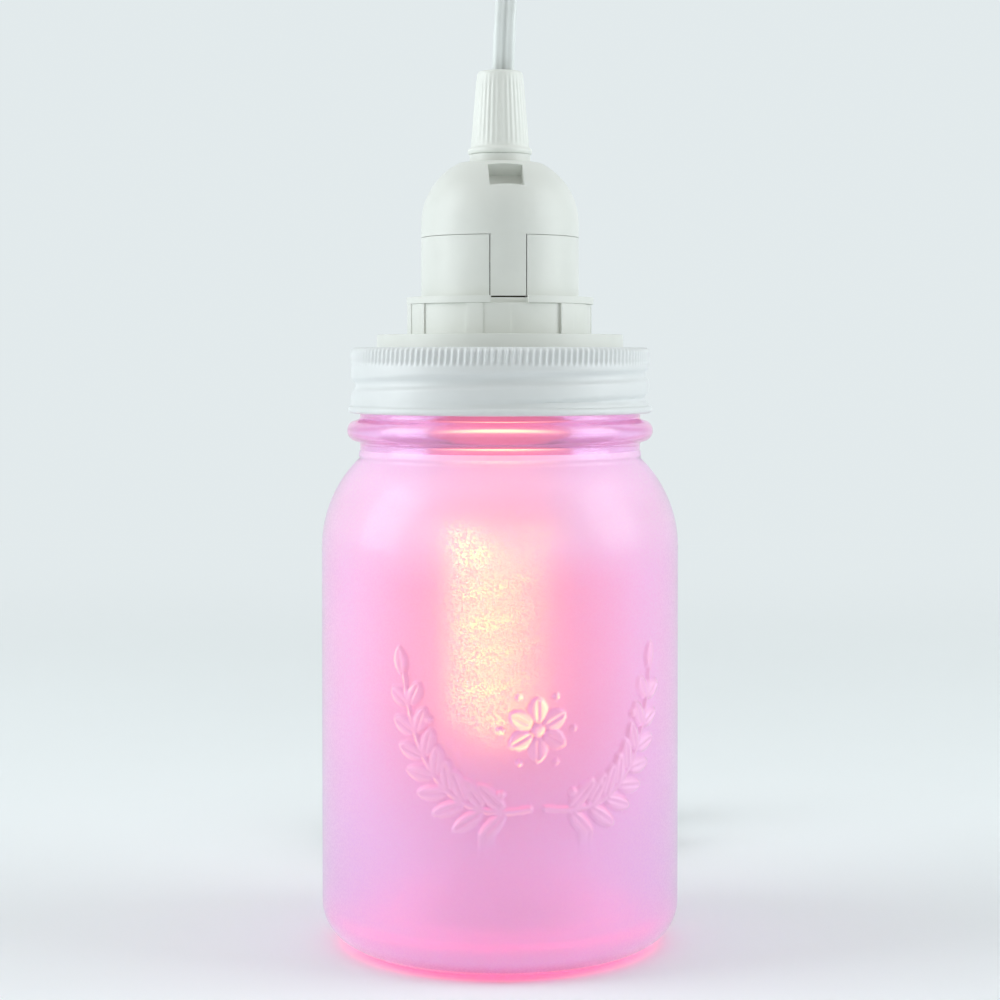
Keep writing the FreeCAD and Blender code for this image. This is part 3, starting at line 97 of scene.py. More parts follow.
class JarSettings(bpy.types.PropertyGroup):
    """The frosted glass jar."""

    radius: length("Radius", "Outside of the body", -JAR_LOW.x)
    wall: length("Wall", "Glass of the body", 3.0 * MM)
    relief: length("Relief", "Height of the raised ornament", 0.9 * MM)
    coat: colour("Coat", "Frosted coat on the outside", (0.86, 0.62, 1.0))
    # Painted lamp glow, put into the coat's colour front and back about the lamp's height
    painted_glow: colour("Blush", "The same coat, where it is dense", (0.94, 0.46, 0.74))
    # Painted highlight on the shoulder, where the top light falls; the same colour glows at the top
    pale: colour("Pale", "The same coat, where it is thin", (0.90, 0.72, 1.0))
    # Painted shade at the foot, where the jar meets the table
    foot_shade: colour("Deep", "The same coat, run together at the foot", (0.74, 0.24, 0.64))
    rubbed: colour("Rubbed", "The same coat, rubbed thin on the raised ornament", (1.0, 0.64, 0.90))
    frost: amount("Frost", "Roughness of the coat", 0.38)
    mist: amount("Mist", "Roughness of the coarser grains in the coat", 0.95)
    halo: colour("Halo", "Lamp light scattered in the coat", (0.95, 0.24, 0.36))
    ember: colour("Ember", "Lamp light that leaves under the foot", (1.0, 0.10, 0.22))
    flush: colour("Flush", "Lamp light scattered in the clear neck", (0.16, 0.05, 0.10))


class BandSettings(bpy.types.PropertyGroup):
    """The screw band."""

    ridges: count("Ridges", "Knurl ridges round the top edge", 148)
    knurl: length("Knurl", "Height of a knurl ridge", 0.5 * MM)
    groove: length("Groove", "Depth of the rolled thread", 1.1 * MM)
    paint: colour("Paint", "White lacquer", (0.76, 0.785, 0.79))


class HolderSettings(bpy.types.PropertyGroup):
    """The lampholder, its lid, the switch and the plug."""

    ribs: count("Ribs", "Fine ribs round the cord grip", 34)
    plastic: colour("Plastic", "Moulded white plastic", (0.77, 0.79, 0.75))
    soften: length("Soften", "Rounding of moulded edges", 0.3 * MM)


class CordSettings(bpy.types.PropertyGroup):
    """The flat twin cord."""

    width: length("Width", "Across both cores", 5.4 * MM)
    thickness: length("Thickness", "Across one core", 2.7 * MM)
    jacket: colour("Jacket", "Vinyl jacket", (0.80, 0.84, 0.83))


class LampSettings(bpy.types.PropertyGroup):
    """The lit bulb."""

    glow: colour("Glow", "Light of the lamp tube", (1.0, 0.60, 0.08))
    power: bpy.props.FloatProperty(name="Power", description="Strength of that light", default=2.6)


class StageSettings(bpy.types.PropertyGroup):
    """Studio, light and camera."""

    paper: colour("Paper", "Floor and backdrop", (0.90, 0.94, 0.955))
    sky: colour("Sky", "What is seen far behind", (0.765, 0.825, 0.84))
    distance: length("Distance", "Camera to the jar's axis", 0.53274)
    height: length("Height", "Camera above the table", 0.14331)
    lens: bpy.props.FloatProperty(name="Lens", description="Focal length", default=77.8, unit="CAMERA")
    shift: amount("Shift", "Picture below the lens's middle, in picture widths", -0.10)
    tilt: bpy.props.FloatProperty(
        name="Tilt", description="Camera below level", default=math.radians(1.15), subtype="ANGLE"
    )


# Shader maths


class Wire:
    """A socket of a node tree. Arithmetic on it adds Math nodes, and node() adds any other node."""

    def __init__(self, tree, socket=None):
        self.tree = tree
        self.socket = socket

    def node(self, kind, settings=None, inputs=None, output=0):
        """Adds a node: its settings first, then the values or links of its sockets, and gives one output."""
        made = self.tree.nodes.new(kind)
        for key, value in (settings or {}).items():
            setattr(made, key, value)
        for key, value in (inputs or {}).items():
            if isinstance(value, Wire):
                self.tree.links.new(value.socket, made.inputs[key])
            else:
                made.inputs[key].default_value = value
        return Wire(self.tree, made.outputs[output]) if made.outputs else made

    def maths(self, operation, *values, clamp=False):
        """One Math node on this value and the others."""
        inputs = dict(enumerate((self, *values)))
        return self.node("ShaderNodeMath", {"operation": operation, "use_clamp": clamp}, inputs)

    def __add__(self, other):
        return self.maths("ADD", other)

    def __sub__(self, other):
        return self.maths("SUBTRACT", other)

    def __mul__(self, other):
        return self.maths("MULTIPLY", other)

    def __truediv__(self, other):
        return self.maths("DIVIDE", other)

    def __rsub__(self, other):
        return self.node("ShaderNodeMath", {"operation": "SUBTRACT"}, {0: other, 1: self})

    __radd__ = __add__
    __rmul__ = __mul__

    def held(self):
        """The value held between nought and one."""
        return self.maths("ADD", 0.0, clamp=True)

    def between(self, low, high):
        """Nought below low, one above high, and smooth between."""
        settings = {"interpolation_type": "SMOOTHSTEP"}
        return self.node("ShaderNodeMapRange", settings, {"Value": self, "From Min": low, "From Max": high})

    def mixed(self, first, second):
        """The first colour where this is nought, the second where it is one."""
        inputs = {0: self, 6: opaque(first), 7: opaque(second)}
        return self.node("ShaderNodeMix", {"data_type": "RGBA"}, inputs, output=2)

    def part(self, axis):
        """One part of a vector."""
        return self.node("ShaderNodeSeparateXYZ", None, {0: self}, output="XYZ".index(axis))


def opaque(shade):
    """A colour with its alpha, or the wire that carries one."""
    return shade if isinstance(shade, Wire) else (*shade[:3], 1.0)


def toned(shade, share):
    """A colour times a share, as a list."""
    return [share * part for part in shade]


class Finish:
    """A material under way: its tree, its place on the piece, and its main shader."""

    def __init__(self, name, **fixed):
        self.material = bpy.data.materials.new(name)
        self.material.use_nodes = True
        self.tree = self.material.node_tree
        self.tree.nodes.clear()
        self.start = Wire(self.tree)
        self.shader = self.tree.nodes.new("ShaderNodeBsdfPrincipled")
        self.end = self.tree.nodes.new("ShaderNodeOutputMaterial")
        self.tree.links.new(self.shader.outputs[0], self.end.inputs[0])
        self.place = self.start.node("ShaderNodeTexCoord", output=3)
        self.set(**fixed)

    def set(self, **values):
        """Sets or links sockets of the main shader, named with underscores for spaces."""
        for key, value in values.items():
            socket = self.shader.inputs[key.replace("_", " ")]
            if isinstance(value, Wire):
                self.tree.links.new(value.socket, socket)
            else:
                socket.default_value = value

    def noise(self, scale, detail=2.0, roughness=0.5, stretch=(1, 1, 1)):
        """Smooth noise of so many grains a metre, drawn out along an axis by stretch."""
        place = self.start.node("ShaderNodeMapping", None, {"Vector": self.place, "Scale": stretch})
        inputs = {"Vector": place, "Scale": scale, "Detail": detail, "Roughness": roughness}
        return self.start.node("ShaderNodeTexNoise", None, inputs)

    def specks(self, scale, radius):
        """Scattered dots: one within radius of a cell's middle, in shares of a cell, and nought elsewhere."""
        inputs = {"Vector": self.place, "Scale": scale, "Randomness": 1.0}
        near = self.start.node("ShaderNodeTexVoronoi", {"feature": "F1"}, inputs)
        return 1 - near.between(radius * 0.6, radius)

    def scaled(self, shade, share):
        """A colour times a share."""
        return self.start.node("ShaderNodeVectorMath", {"operation": "SCALE"}, {0: shade, "Scale": share})

    def sum(self, first, *others):
        """Colours added up."""
        for other in others:
            first = self.start.node("ShaderNodeVectorMath", {"operation": "ADD"}, {0: first, 1: other})
        return first

    def bump(self, height, strength, distance):
        """A Bump node on a height, for the Normal socket."""
        return self.start.node(
            "ShaderNodeBump", None, {"Height": height, "Strength": strength, "Distance": distance}
        )


# Surfaces


def grid_faces(rows, columns, rows_closed=False):
    """Quads of a grid closed round its columns, and round its rows where asked, facing outwards."""
    index = np.arange(rows * columns).reshape(rows, columns)
    above = np.roll(index, -1, axis=0)
    if not rows_closed:
        index, above = index[:-1], above[:-1]
    corners = [index, np.roll(index, -1, axis=1), np.roll(above, -1, axis=1), above]
    return np.stack(corners, axis=-1).reshape(-1, 4)


def fan_faces(ring, tip, upward):
    """Triangles from a closed ring of vertices to one tip."""
    after = np.roll(ring, -1)
    tips = np.full(len(ring), tip)
    return np.stack([ring, after, tips] if upward else [after, ring, tips], axis=-1)


def capped_faces(rows, columns):
    """Faces of such a grid with both ends closed, each by a fan to one more point after the grid's own."""
    index = np.arange(rows * columns).reshape(rows, columns)
    low = fan_faces(index[0], rows * columns, False)
    high = fan_faces(index[-1], rows * columns + 1, True)
    return [grid_faces(rows, columns), low, high]


def turned(radii, heights, angles):
    """Points of a turned surface: radius and height on rows, angle on columns, as x, y and z."""
    radii, heights, angles = np.broadcast_arrays(radii, heights, angles)
    return np.stack([radii * np.cos(angles), radii * np.sin(angles), heights], axis=-1)


def ramp(value, start, width):
    """Nought up to start, one from start plus width on, and straight between."""
    return np.clip((value - start) / width, 0, 1)


def eased(share):
    """A share from nought to one that sets off and stops gently."""
    return share * share * (3 - 2 * share)


def run_of(*corners, step):
    """Points along straight runs between corners, about step apart, without the last corner of all."""
    corners = np.array(corners, float)
    spans = np.linalg.norm(np.diff(corners, axis=0), axis=1)
    pieces = [
        np.linspace(a, b, max(int(round(span / step)), 1), endpoint=False)
        for a, b, span in zip(corners[:-1], corners[1:], spans)
    ]
    return np.vstack(pieces)


def arc_of(centre, radius, start, stop, steps):
    """Points on an arc in the profile plane, from one angle to another in degrees, without its end."""
    angles = np.radians(np.linspace(start, stop, steps, endpoint=False))
    return np.stack([centre[0] + radius * np.cos(angles), centre[1] + radius * np.sin(angles)], axis=-1)


def new_piece(name, points, faces, finishes, slots=None, sharp=None):
    """A smooth mesh object at the origin from arrays of points and of faces, sharp at edges past an angle."""
    mesh = bpy.data.meshes.new(name)
    corners = np.concatenate([part.ravel() for part in faces]).astype(np.int32)
    sizes = np.concatenate([np.full(len(part), part.shape[1]) for part in faces])
    starts = np.concatenate([[0], np.cumsum(sizes)[:-1]]).astype(np.int32)
    mesh.vertices.add(len(points))
    mesh.vertices.foreach_set("co", points.astype(np.float32).ravel())
    mesh.loops.add(len(corners))
    mesh.loops.foreach_set("vertex_index", corners)
    mesh.polygons.add(len(sizes))
    mesh.polygons.foreach_set("loop_start", starts)
    mesh.polygons.foreach_set("use_smooth", np.ones(len(sizes), bool))
    for finish in finishes:
        mesh.materials.append(finish.material)
    if slots is not None:
        mesh.polygons.foreach_set("material_index", slots.astype(np.int32))
    mesh.update(calc_edges=True)
    mesh.validate()
    if sharp is not None:
        mesh.set_sharp_from_angle(angle=math.radians(sharp))
    piece = bpy.data.objects.new(name, mesh)
    bpy.context.scene.collection.objects.link(piece)
    return piece


SOFTENED_FROM = math.radians(35.0)
WELD_REACH = 0.002 * MM


def dress(node, finish, soften=0.0):
    """Gives a frame node its material, and rounds its edges by soften."""
    piece = NODES[node]
    piece.data.materials.clear()
    piece.data.materials.append(finish.material)
    if soften:
        weld = piece.modifiers.new("weld", "WELD")
        weld.merge_threshold = WELD_REACH
        bevel = piece.modifiers.new("soften", "BEVEL")
        bevel.width = soften
        bevel.segments = 2
        bevel.limit_method = "ANGLE"
        bevel.angle_limit = SOFTENED_FROM
        piece.modifiers.new("even", "WEIGHTED_NORMAL").keep_sharp = True


# Materials


GLASS_IOR = 1.45
PLASTIC_IOR = 1.5
MOTTLE = (0.3, 0.7)

# Heights on the jar, in metres, between which its coat and the light painted on it change: the painted lamp
# glow, the painted highlights on the shoulder and the top, and the painted shade at the foot
GLOW_GAINS = (0.02, 0.065)
GLOW_FADES = (0.085, 0.12)
SHOULDER_HIGHLIGHT_RISES = (0.090, 0.106)
FOOT_SHADE_FADES = (0.0006, 0.005)
HALO_RISES = (-0.01, 0.075)
EMBER_FADES = (0.0004, 0.0022)
TOP_HIGHLIGHT_RISES = (0.106, 0.119)
# Squares of the distance from the middle, in radii, between which the painted lamp glow on the front and back
# gives out
GLOW_FACING_FADES = (0.12, 0.7)

# The lit bulb, in metres: where its tube's light falls off to one side, and the housing's slot
TUBE_FADES = (-0.006, 0.014)
HOUSING_REACH = 0.0195
HOUSING_FADES = (0.124, 0.145)
SLOT_FOOT = (0.1211, 0.1219)
SLOT_TOP = (0.1226, 0.1237)
SLOT_LIGHT = (2.6, 2.0, 0.6)


def moulded_plastic(name, shade, gloss=0.42):
    """Moulded plastic: a faint mottle in colour and gloss, a fine grain and a little dust."""
    made = Finish(name, IOR=PLASTIC_IOR)
    mottle = made.noise(90, 3)
    grain = made.noise(2600, 2)
    dust = made.specks(330, 0.05) * made.noise(40, 1).between(0.55, 0.7)
    tone = mottle.between(*MOTTLE).mixed(toned(shade, 0.965), shade)
    made.set(
        Base_Color=(dust * 0.5).mixed(tone, toned(shade, 0.35)),
        Roughness=mottle * 0.12 + (gloss - 0.05),
        Normal=made.bump(grain, 0.12, 0.00005),
    )
    return made


def frosted_coat(settings):
    """Frosted lacquer over glass: light passes through it blurred, by fine grains and by coarser ones, and it
    has a pearly skin. Its colour holds painted light: a painted glow of the lamp, strongest front and back
    about the lamp's height, a painted highlight on the shoulder and painted shade at the foot; it is paler
    where rubbed on the raised ornament. It glows with painted lamp light, least at the base, where some
    leaves under the foot, and with a painted highlight at the top."""
    made = Finish(
        "frosted_coat",
        IOR=GLASS_IOR,
        Transmission_Weight=0.5,
        Coat_Roughness=0.16,
        Coat_IOR=GLASS_IOR,
        Sheen_Weight=0.9,
        Sheen_Tint=(0.90, 0.90, 1.0, 1.0),
        Sheen_Roughness=0.45,
        Emission_Strength=1.0,
    )
    names = ("coat", "painted_glow", "pale", "foot_shade", "rubbed", "halo", "ember")
    shade, painted_glow, pale, foot_shade, rubbed, halo, ember = (list(getattr(settings, name)) for name in names)
    clouds = made.noise(55, 3)
    grain = made.noise(2200, 2)
    height = made.place.part("Z")
    side = made.place.part("X") / settings.radius
    # Painted lamp glow in the coat's colour: strongest front and back, about the lamp's height
    glow_facing = 1 - (side * side).between(*GLOW_FACING_FADES) * 0.85
    belly = height.between(*GLOW_GAINS) * (1 - height.between(*GLOW_FADES))
    glow_mask = belly * (clouds * 0.2 + 0.9) * glow_facing
    # Painted highlight: the coat's colour turns pale over the shoulder
    shoulder_highlight = height.between(*SHOULDER_HIGHLIGHT_RISES)
    # Painted shade: the coat's colour darkens at the foot, where the jar meets the table
    low = 1 - height.between(*FOOT_SHADE_FADES)
    lit = height.between(*HALO_RISES) * 0.10 + 0.08
    foot = (1 - height.between(*EMBER_FADES)) * 0.9
    # Painted highlight at the top of the shoulder, glowing as emission
    top_highlight = height.between(*TOP_HIGHLIGHT_RISES) * 0.13
    # Painted light glowing from the coat: the lamp's glow rising with height, a glow under the foot that
    # lights the table, and the painted highlight at the top
    spread = made.sum(made.scaled(halo, lit), made.scaled(ember, foot), made.scaled(pale, top_highlight))
    coarse = grain.between(0.44, 0.56) * (settings.mist - settings.frost)
    raised = made.start.node("ShaderNodeAttribute", {"attribute_name": "raised"}, output=2)
    grained = 1 - raised.between(0.0, 0.3)
    plain = low.mixed(shoulder_highlight.mixed(glow_mask.mixed(shade, painted_glow), pale), foot_shade)
    made.set(
        Base_Color=(raised * 0.5).mixed(plain, rubbed),
        Roughness=clouds * 0.06 + (settings.frost - 0.03) + coarse * grained - raised * 0.05,
        Coat_Weight=clouds * 0.1 + 0.35 + raised * 0.3,
        Emission_Color=spread,
        Normal=made.bump(grain * grained, 0.15, 0.00004),
    )
    return made


def polished_coat(settings):
    """The same lacquer on the bead and the neck, where the glass is smooth and shows through."""
    made = Finish(
        "polished_coat",
        IOR=GLASS_IOR,
        Transmission_Weight=0.85,
        Coat_Roughness=0.1,
        Coat_IOR=GLASS_IOR,
        Emission_Color=opaque(settings.flush),
        Emission_Strength=1.0,
    )
    clouds = made.noise(70, 3)
    shade = list(settings.coat)
    made.set(
        Base_Color=clouds.between(*MOTTLE).mixed(toned(shade, 0.97), shade),
        Roughness=clouds * 0.08 + 0.20,
        Coat_Weight=clouds * 0.1 + 0.45,
    )
    return made


def clear_glass():
    """Plain glass, for the inside of the jar."""
    tint = opaque((0.98, 0.97, 0.98))
    made = Finish("clear_glass", IOR=GLASS_IOR, Transmission_Weight=1.0, Base_Color=tint)
    ripple = made.noise(35, 2)
    made.set(Roughness=ripple * 0.04 + 0.03)
    return made


def band_lacquer(settings):
    """Satin white lacquer on sheet steel, a little uneven and chipped in a few places."""
    made = Finish("band_lacquer", IOR=PLASTIC_IOR, Coat_Weight=0.4, Coat_Roughness=0.4)
    shade = list(settings.paint)
    mottle = made.noise(70, 3)
    chips = made.specks(150, 0.045) * made.noise(30, 1).between(0.5, 0.62)
    tone = mottle.between(*MOTTLE).mixed(toned(shade, 0.96), shade)
    made.set(
        Base_Color=chips.mixed(tone, (0.22, 0.20, 0.19)),
        Roughness=mottle * 0.15 + 0.36,
        Normal=made.bump(made.noise(900, 2), 0.08, 0.00008),
    )
    return made


def vinyl_jacket(settings):
    """Soft vinyl of the cord: a slight grey mottle along it."""
    made = Finish("vinyl_jacket", IOR=PLASTIC_IOR)
    shade = list(settings.jacket)
    mottle = made.noise(120, 2)
    made.set(
        Base_Color=mottle.between(*MOTTLE).mixed(toned(shade, 0.94), shade),
        Roughness=mottle * 0.15 + 0.3,
        Normal=made.bump(made.noise(300, 1), 0.05, 0.00005),
    )
    return made


def bare_metal(name, shade, gloss):
    """Stamped metal with drawn marks and a little tarnish."""
    made = Finish(name, Metallic=1.0)
    marks = made.noise(900, 3, roughness=0.6, stretch=(1, 1, 0.08))
    tarnish = made.noise(220, 3)
    made.set(
        Base_Color=tarnish.between(0.35, 0.75).mixed(shade, toned(shade, 0.72)),
        Roughness=marks * 0.2 + gloss,
        Normal=made.bump(marks, 0.1, 0.00003),
    )
    return made


def dark_insulator():
    """Moulded thermoset: dark, dull and slightly speckled."""
    made = Finish("dark_insulator", IOR=1.55)
    mottle = made.noise(700, 3)
    made.set(
        Base_Color=mottle.between(*MOTTLE).mixed((0.02, 0.018, 0.016), (0.05, 0.045, 0.04)),
        Roughness=mottle * 0.2 + 0.35,
        Normal=made.bump(mottle, 0.1, 0.00005),
    )
    return made


def lamp_glass(settings):
    """Phosphor coated lamp tube, lit: weaker to one side, and slightly uneven in patches."""
    made = Finish(
        "lamp_glass",
        Roughness=0.3,
        Base_Color=opaque((0.9, 0.88, 0.82)),
        Emission_Strength=settings.power,
    )
    patches = made.noise(60, 2).between(*MOTTLE)
    near = 1 - made.place.part("X").between(*TUBE_FADES) * 0.75
    made.set(Emission_Color=(patches * 0.08 + near * 0.92).mixed((0, 0, 0), settings.glow))
    return made


def lamp_housing(settings):
    """Moulded plastic of the bulb's housing, its pink colour painted light from the coat, and glowing with
    painted light from the tube: bright in a slot round it, front and back, and fading upwards."""
    # Pink colour: painted pink light from the coat that fills the jar
    made = moulded_plastic("bulb_plastic", (0.76, 0.42, 0.46))
    height = made.place.part("Z")
    side = made.place.part("X") / HOUSING_REACH
    facing = (1 - side * side).held()
    slot = height.between(*SLOT_FOOT) * (1 - height.between(*SLOT_TOP)) * facing * facing
    lit = facing * (1 - height.between(*HOUSING_FADES))
    warm = lit.mixed((0.06, 0.01, 0.02), (0.55, 0.04, 0.04))
    made.set(Emission_Color=slot.mixed(warm, SLOT_LIGHT), Emission_Strength=0.35 * settings.power)
    return made


def board_laminate():
    """Ballast board: green laminate with fine weave."""
    made = Finish("board_laminate", IOR=PLASTIC_IOR)
    weave = made.noise(1800, 2)
    made.set(
        Base_Color=weave.between(*MOTTLE).mixed((0.03, 0.12, 0.05), (0.05, 0.18, 0.08)),
        Roughness=weave * 0.2 + 0.4,
    )
    return made


# Cords


# The cord's route through the frame, in millimetres: from the cap over to the switch, and from there down
# to the coil on the table and on to the plug
UPPER_ROUTE = [
    (0.6, 0.0, 190.0),
    (0.6, 0.0, 213.4),
    (1.9, 1.2, 237.0),
    (2.0, 18.2, 254.0),
    (1.9, 41.5, 254.0),
    (1.3, 57.5, 236.5),
    (0.9, 57.8, 213.5),
    (5.5, 56.5, 190.0),
    (5.5, 56.5, 167.0),
]
LOWER_ROUTE = [
    (5.5, 56.5, 109.0),
    (5.5, 56.5, 88.0),
    (6.2, 56.9, 64.0),
    (6.2, 56.9, 42.0),
    (6.2, 56.9, 33.0),
    (6.6, 56.6, 15.9),
    (-5.8, 56.5, 3.65),
    (-23.6, 56.5, 3.65),
    (-41.5, 74.4, 3.65),
    (-41.5, 94.6, 3.65),
]
TAIL_BENDS = [(0.0, 11.0, 0.0), (10.5, 25.5, 6.0), (25.5, 27.5, 10.2), (37.5, 27.5, 10.2)]
COIL_CENTRE = (-0.5, 100.0, 3.65)
COIL_RADIUS = 41.0
COIL_PITCH = 3.4
COIL_LAYER = 5.9
COIL_TURNS = 7
COIL_POINTS = 24
COIL_LEAD = 5.4

# How finely the two lines are read from their splines, and the points and the waist of the twin section
UPPER_FINENESS = 14
LOWER_FINENESS = 4
CORE_STEPS = 14
WAIST = 0.78


def coil_route():
    """Control points of the coil, clockwise from above: the radius shrinks by a pitch a turn in the first
    layer, a half turn climbs smoothly to the second, and there the radius grows again."""
    half = TURN / 2
    layer_sweep = TURN * COIL_TURNS
    sweep = np.linspace(0, 2 * layer_sweep, 2 * COIL_TURNS * COIL_POINTS + 1)
    climb = ramp(sweep, layer_sweep, half)
    turn_back = layer_sweep + half / 2
    drawn = np.where(sweep <= turn_back, sweep, 2 * turn_back - sweep)
    radius = COIL_RADIUS - COIL_PITCH / TURN * drawn
    angle = half - sweep
    return np.array(COIL_CENTRE) + turned(radius, COIL_LAYER * eased(climb), angle)


def smooth_line(points, resolution):
    """Points in metres, read from a NURBS spline of order 3 whose control points are in millimetres."""
    curve = bpy.data.curves.new("route", "CURVE")
    curve.dimensions = "3D"
    curve.resolution_u = resolution
    spline = curve.splines.new("NURBS")
    spline.points.add(len(points) - 1)
    weighted = np.hstack([np.array(points) * MM, np.ones((len(points), 1))])
    spline.points.foreach_set("co", weighted.ravel())
    spline.order_u = 3
    spline.use_endpoint_u = True
    carrier = bpy.data.objects.new("route", curve)
    mesh = bpy.data.meshes.new_from_object(carrier)
    line = np.empty(3 * len(mesh.vertices), np.float32)
    mesh.vertices.foreach_get("co", line)
    bpy.data.objects.remove(carrier)
    bpy.data.curves.remove(curve)
    bpy.data.meshes.remove(mesh)
    return line.reshape(-1, 3).astype(float)


def twin_section(width, thickness):
    """Outline of a flat twin cord: two round cores side by side, with a groove where they meet."""
    radius = thickness / 2
    middle = width / 2 - radius
    reach = math.acos(min(WAIST * middle / radius, 0.95))
    angles = np.linspace(-math.pi + reach, math.pi - reach, CORE_STEPS)
    lobe = np.stack([middle + radius * np.cos(angles), radius * np.sin(angles)], axis=-1)
    return np.vstack([lobe, lobe * [-1, -1]])


def swept(line, width_way, section):
    """A section carried along a line: its first number goes along the width way, its second across it."""
    heading = np.gradient(line, axis=0)
    heading /= np.linalg.norm(heading, axis=1, keepdims=True)
    across = width_way - (width_way * heading).sum(axis=1, keepdims=True) * heading
    across /= np.linalg.norm(across, axis=1, keepdims=True)
    through = np.cross(heading, across)
    return line[:, None] + section[None, :, :1] * across[:, None] + section[None, :, 1:] * through[:, None]


def cord_piece(name, line, width_way, settings, finish):
    """A flat twin cord along a line, closed at both ends."""
    section = twin_section(settings.width, settings.thickness)
    grid = swept(line, width_way, section)
    points = np.vstack([grid.reshape(-1, 3), line[:1], line[-1:]])
    return new_piece(name, points, capped_faces(*grid.shape[:2]), [finish])


def line_length(line):
    """Length along a line of points."""
    return float(np.linalg.norm(np.diff(line, axis=0), axis=1).sum())


class LANTERN_OT_cords(bpy.types.Operator):
    """Make the flat cord: over the back to the switch, and from there to its coil and plug"""

    bl_idname = "lantern.cords"
    bl_label = "Cords"

    def execute(self, context):
        settings = context.scene.lantern_cord
        finish = vinyl_jacket(settings)
        upper = smooth_line(UPPER_ROUTE, UPPER_FINENESS)
        sideways = np.broadcast_to([1.0, 0.0, 0.0], upper.shape)
        drop = cord_piece("upper_cord", upper, sideways, settings, finish)
        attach(drop, "kit")
        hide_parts("cord_drop_upper")
        line_length(upper)

        coil = coil_route()
        leaving = coil[-1] + [0.0, COIL_LEAD, 0.0]
        tail = leaving + np.vstack([np.zeros((1, 3)), np.array(TAIL_BENDS)])
        lower = smooth_line(np.vstack([LOWER_ROUTE, coil, tail]), LOWER_FINENESS)
        # The flat cord hangs with its broad side to the jar, and stands on edge once it lies on the table
        heading = np.gradient(lower, axis=0)
        hanging = np.cross([0.0, 1.0, 0.0], heading)
        hanging /= np.maximum(np.linalg.norm(hanging, axis=1, keepdims=True), 1e-9)
        laid = np.cumsum(lower[:, 0] < -0.2 * COIL_RADIUS * MM) > 0
        width_way = np.where(laid[:, None], [0.0, 0.0, 1.0], hanging)
        lead = cord_piece("lower_cord", lower, width_way, settings, finish)
        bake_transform(lead)
        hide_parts("cord_drop_lower", "cord_lead", "cord_coil", "cord_tail")
        line_length(lower)
        return {"FINISHED"}


# Jar


# The jar, in millimetres
JAR_FLOOR = 6.5
JAR_HOLLOW = 1.5
POLE_RADIUS = 4.0
POLISHED_FROM = 120.3
ORNAMENT_COLUMNS = 200
PLAIN_COLUMNS = 96

# The thread on its neck, which the band's rolled thread follows
THREAD_PITCH = 6.35
THREAD_START = 129.8
THREAD_TURNS = 1.5
THREAD_HALF = 1.3
THREAD_RISE = 1.1
THREAD_RUNOUT = 0.06
THREAD_ZONE = (128.4, 141.5)

# The raised wreath: its place on the jar, and its parts measured from that place, in millimetres
ORNAMENT_ANGLE = math.radians(-78.7)
ORNAMENT_HEIGHT = 57.0
ORNAMENT_HALF = (36.0, 22.5)
BRANCH = ((2.0, -16.5), (27.0, -21.5), (31.5, 13.5))
BRANCH_STEPS = 28
BRANCH_HALF = 0.85
LEAF_PLACES = range(3, 25, 3)
LEAF_LENGTH = 9.6
LEAF_WIDTH = 1.9
LEAF_SPREAD = 46.0
LEAF_SHRINKS = 0.45
SPREAD_SHRINKS = 1.2
TIP_LEAF = (7.0, 1.8)
STALK_HALF = 0.4
BERRY_STALK = 4.4
BERRY_LEAN = 1.9
BERRY_RADIUS = 1.05
FLOWER = (0.0, 1.5)
PETALS = 6
PETAL = (6.4, 2.3)
PETAL_FOOT = 1.3
BUTTON_RADIUS = 1.7
DOT_RING = 8.6
DOT_RADIUS = 0.8


def dome(distance):
    """A rounded rise: one at the middle, nought from a distance of one on."""
    return np.sqrt(np.clip(1 - distance**2, 0, 1))


def stroke(across, up, line, half_width):
    """Height of a rounded stroke along a line of points, by the distance to its nearest run."""
    start, stop = line[:-1], line[1:]
    run = stop - start
    away = np.stack([across, up], axis=-1)[..., None, :] - start
    share = np.clip((away * run).sum(-1) / (run**2).sum(-1), 0, 1)
    apart = np.linalg.norm(away - share[..., None] * run, axis=-1)
    return dome(np.min(apart / np.linspace(half_width, 0.55 * half_width, len(run)), axis=-1))


def leaf(across, up, foot, angle, long, wide):
    """Height of a pointed leaf with a vein: a lens along its angle from its foot."""
    cos, sin = math.cos(angle), math.sin(angle)
    along = ((across - foot[0]) * cos + (up - foot[1]) * sin) / long
    beside = ((up - foot[1]) * cos - (across - foot[0]) * sin) / wide
    edge = np.clip(4 * along * (1 - along), 0, 1) ** 0.8 + 1e-6
    inside = (along > 0) & (along < 1)
    blade = np.where(inside, dome(np.clip(np.abs(beside) / edge, 0, 1)) * np.minimum(edge * 1.6, 1), 0)
    vein = 1 - 0.45 * np.exp(-((beside * wide / 0.28) ** 2)) * (along < 0.85)
    return blade * vein


def button(across, up, middle, radius):
    """Height of a round rise."""
    return dome(np.hypot(across - middle[0], up - middle[1]) / radius)


def stepped(start, angle, distance):
    """The point at a distance from another, along an angle."""
    return np.array(start) + distance * np.array([math.cos(angle), math.sin(angle)])


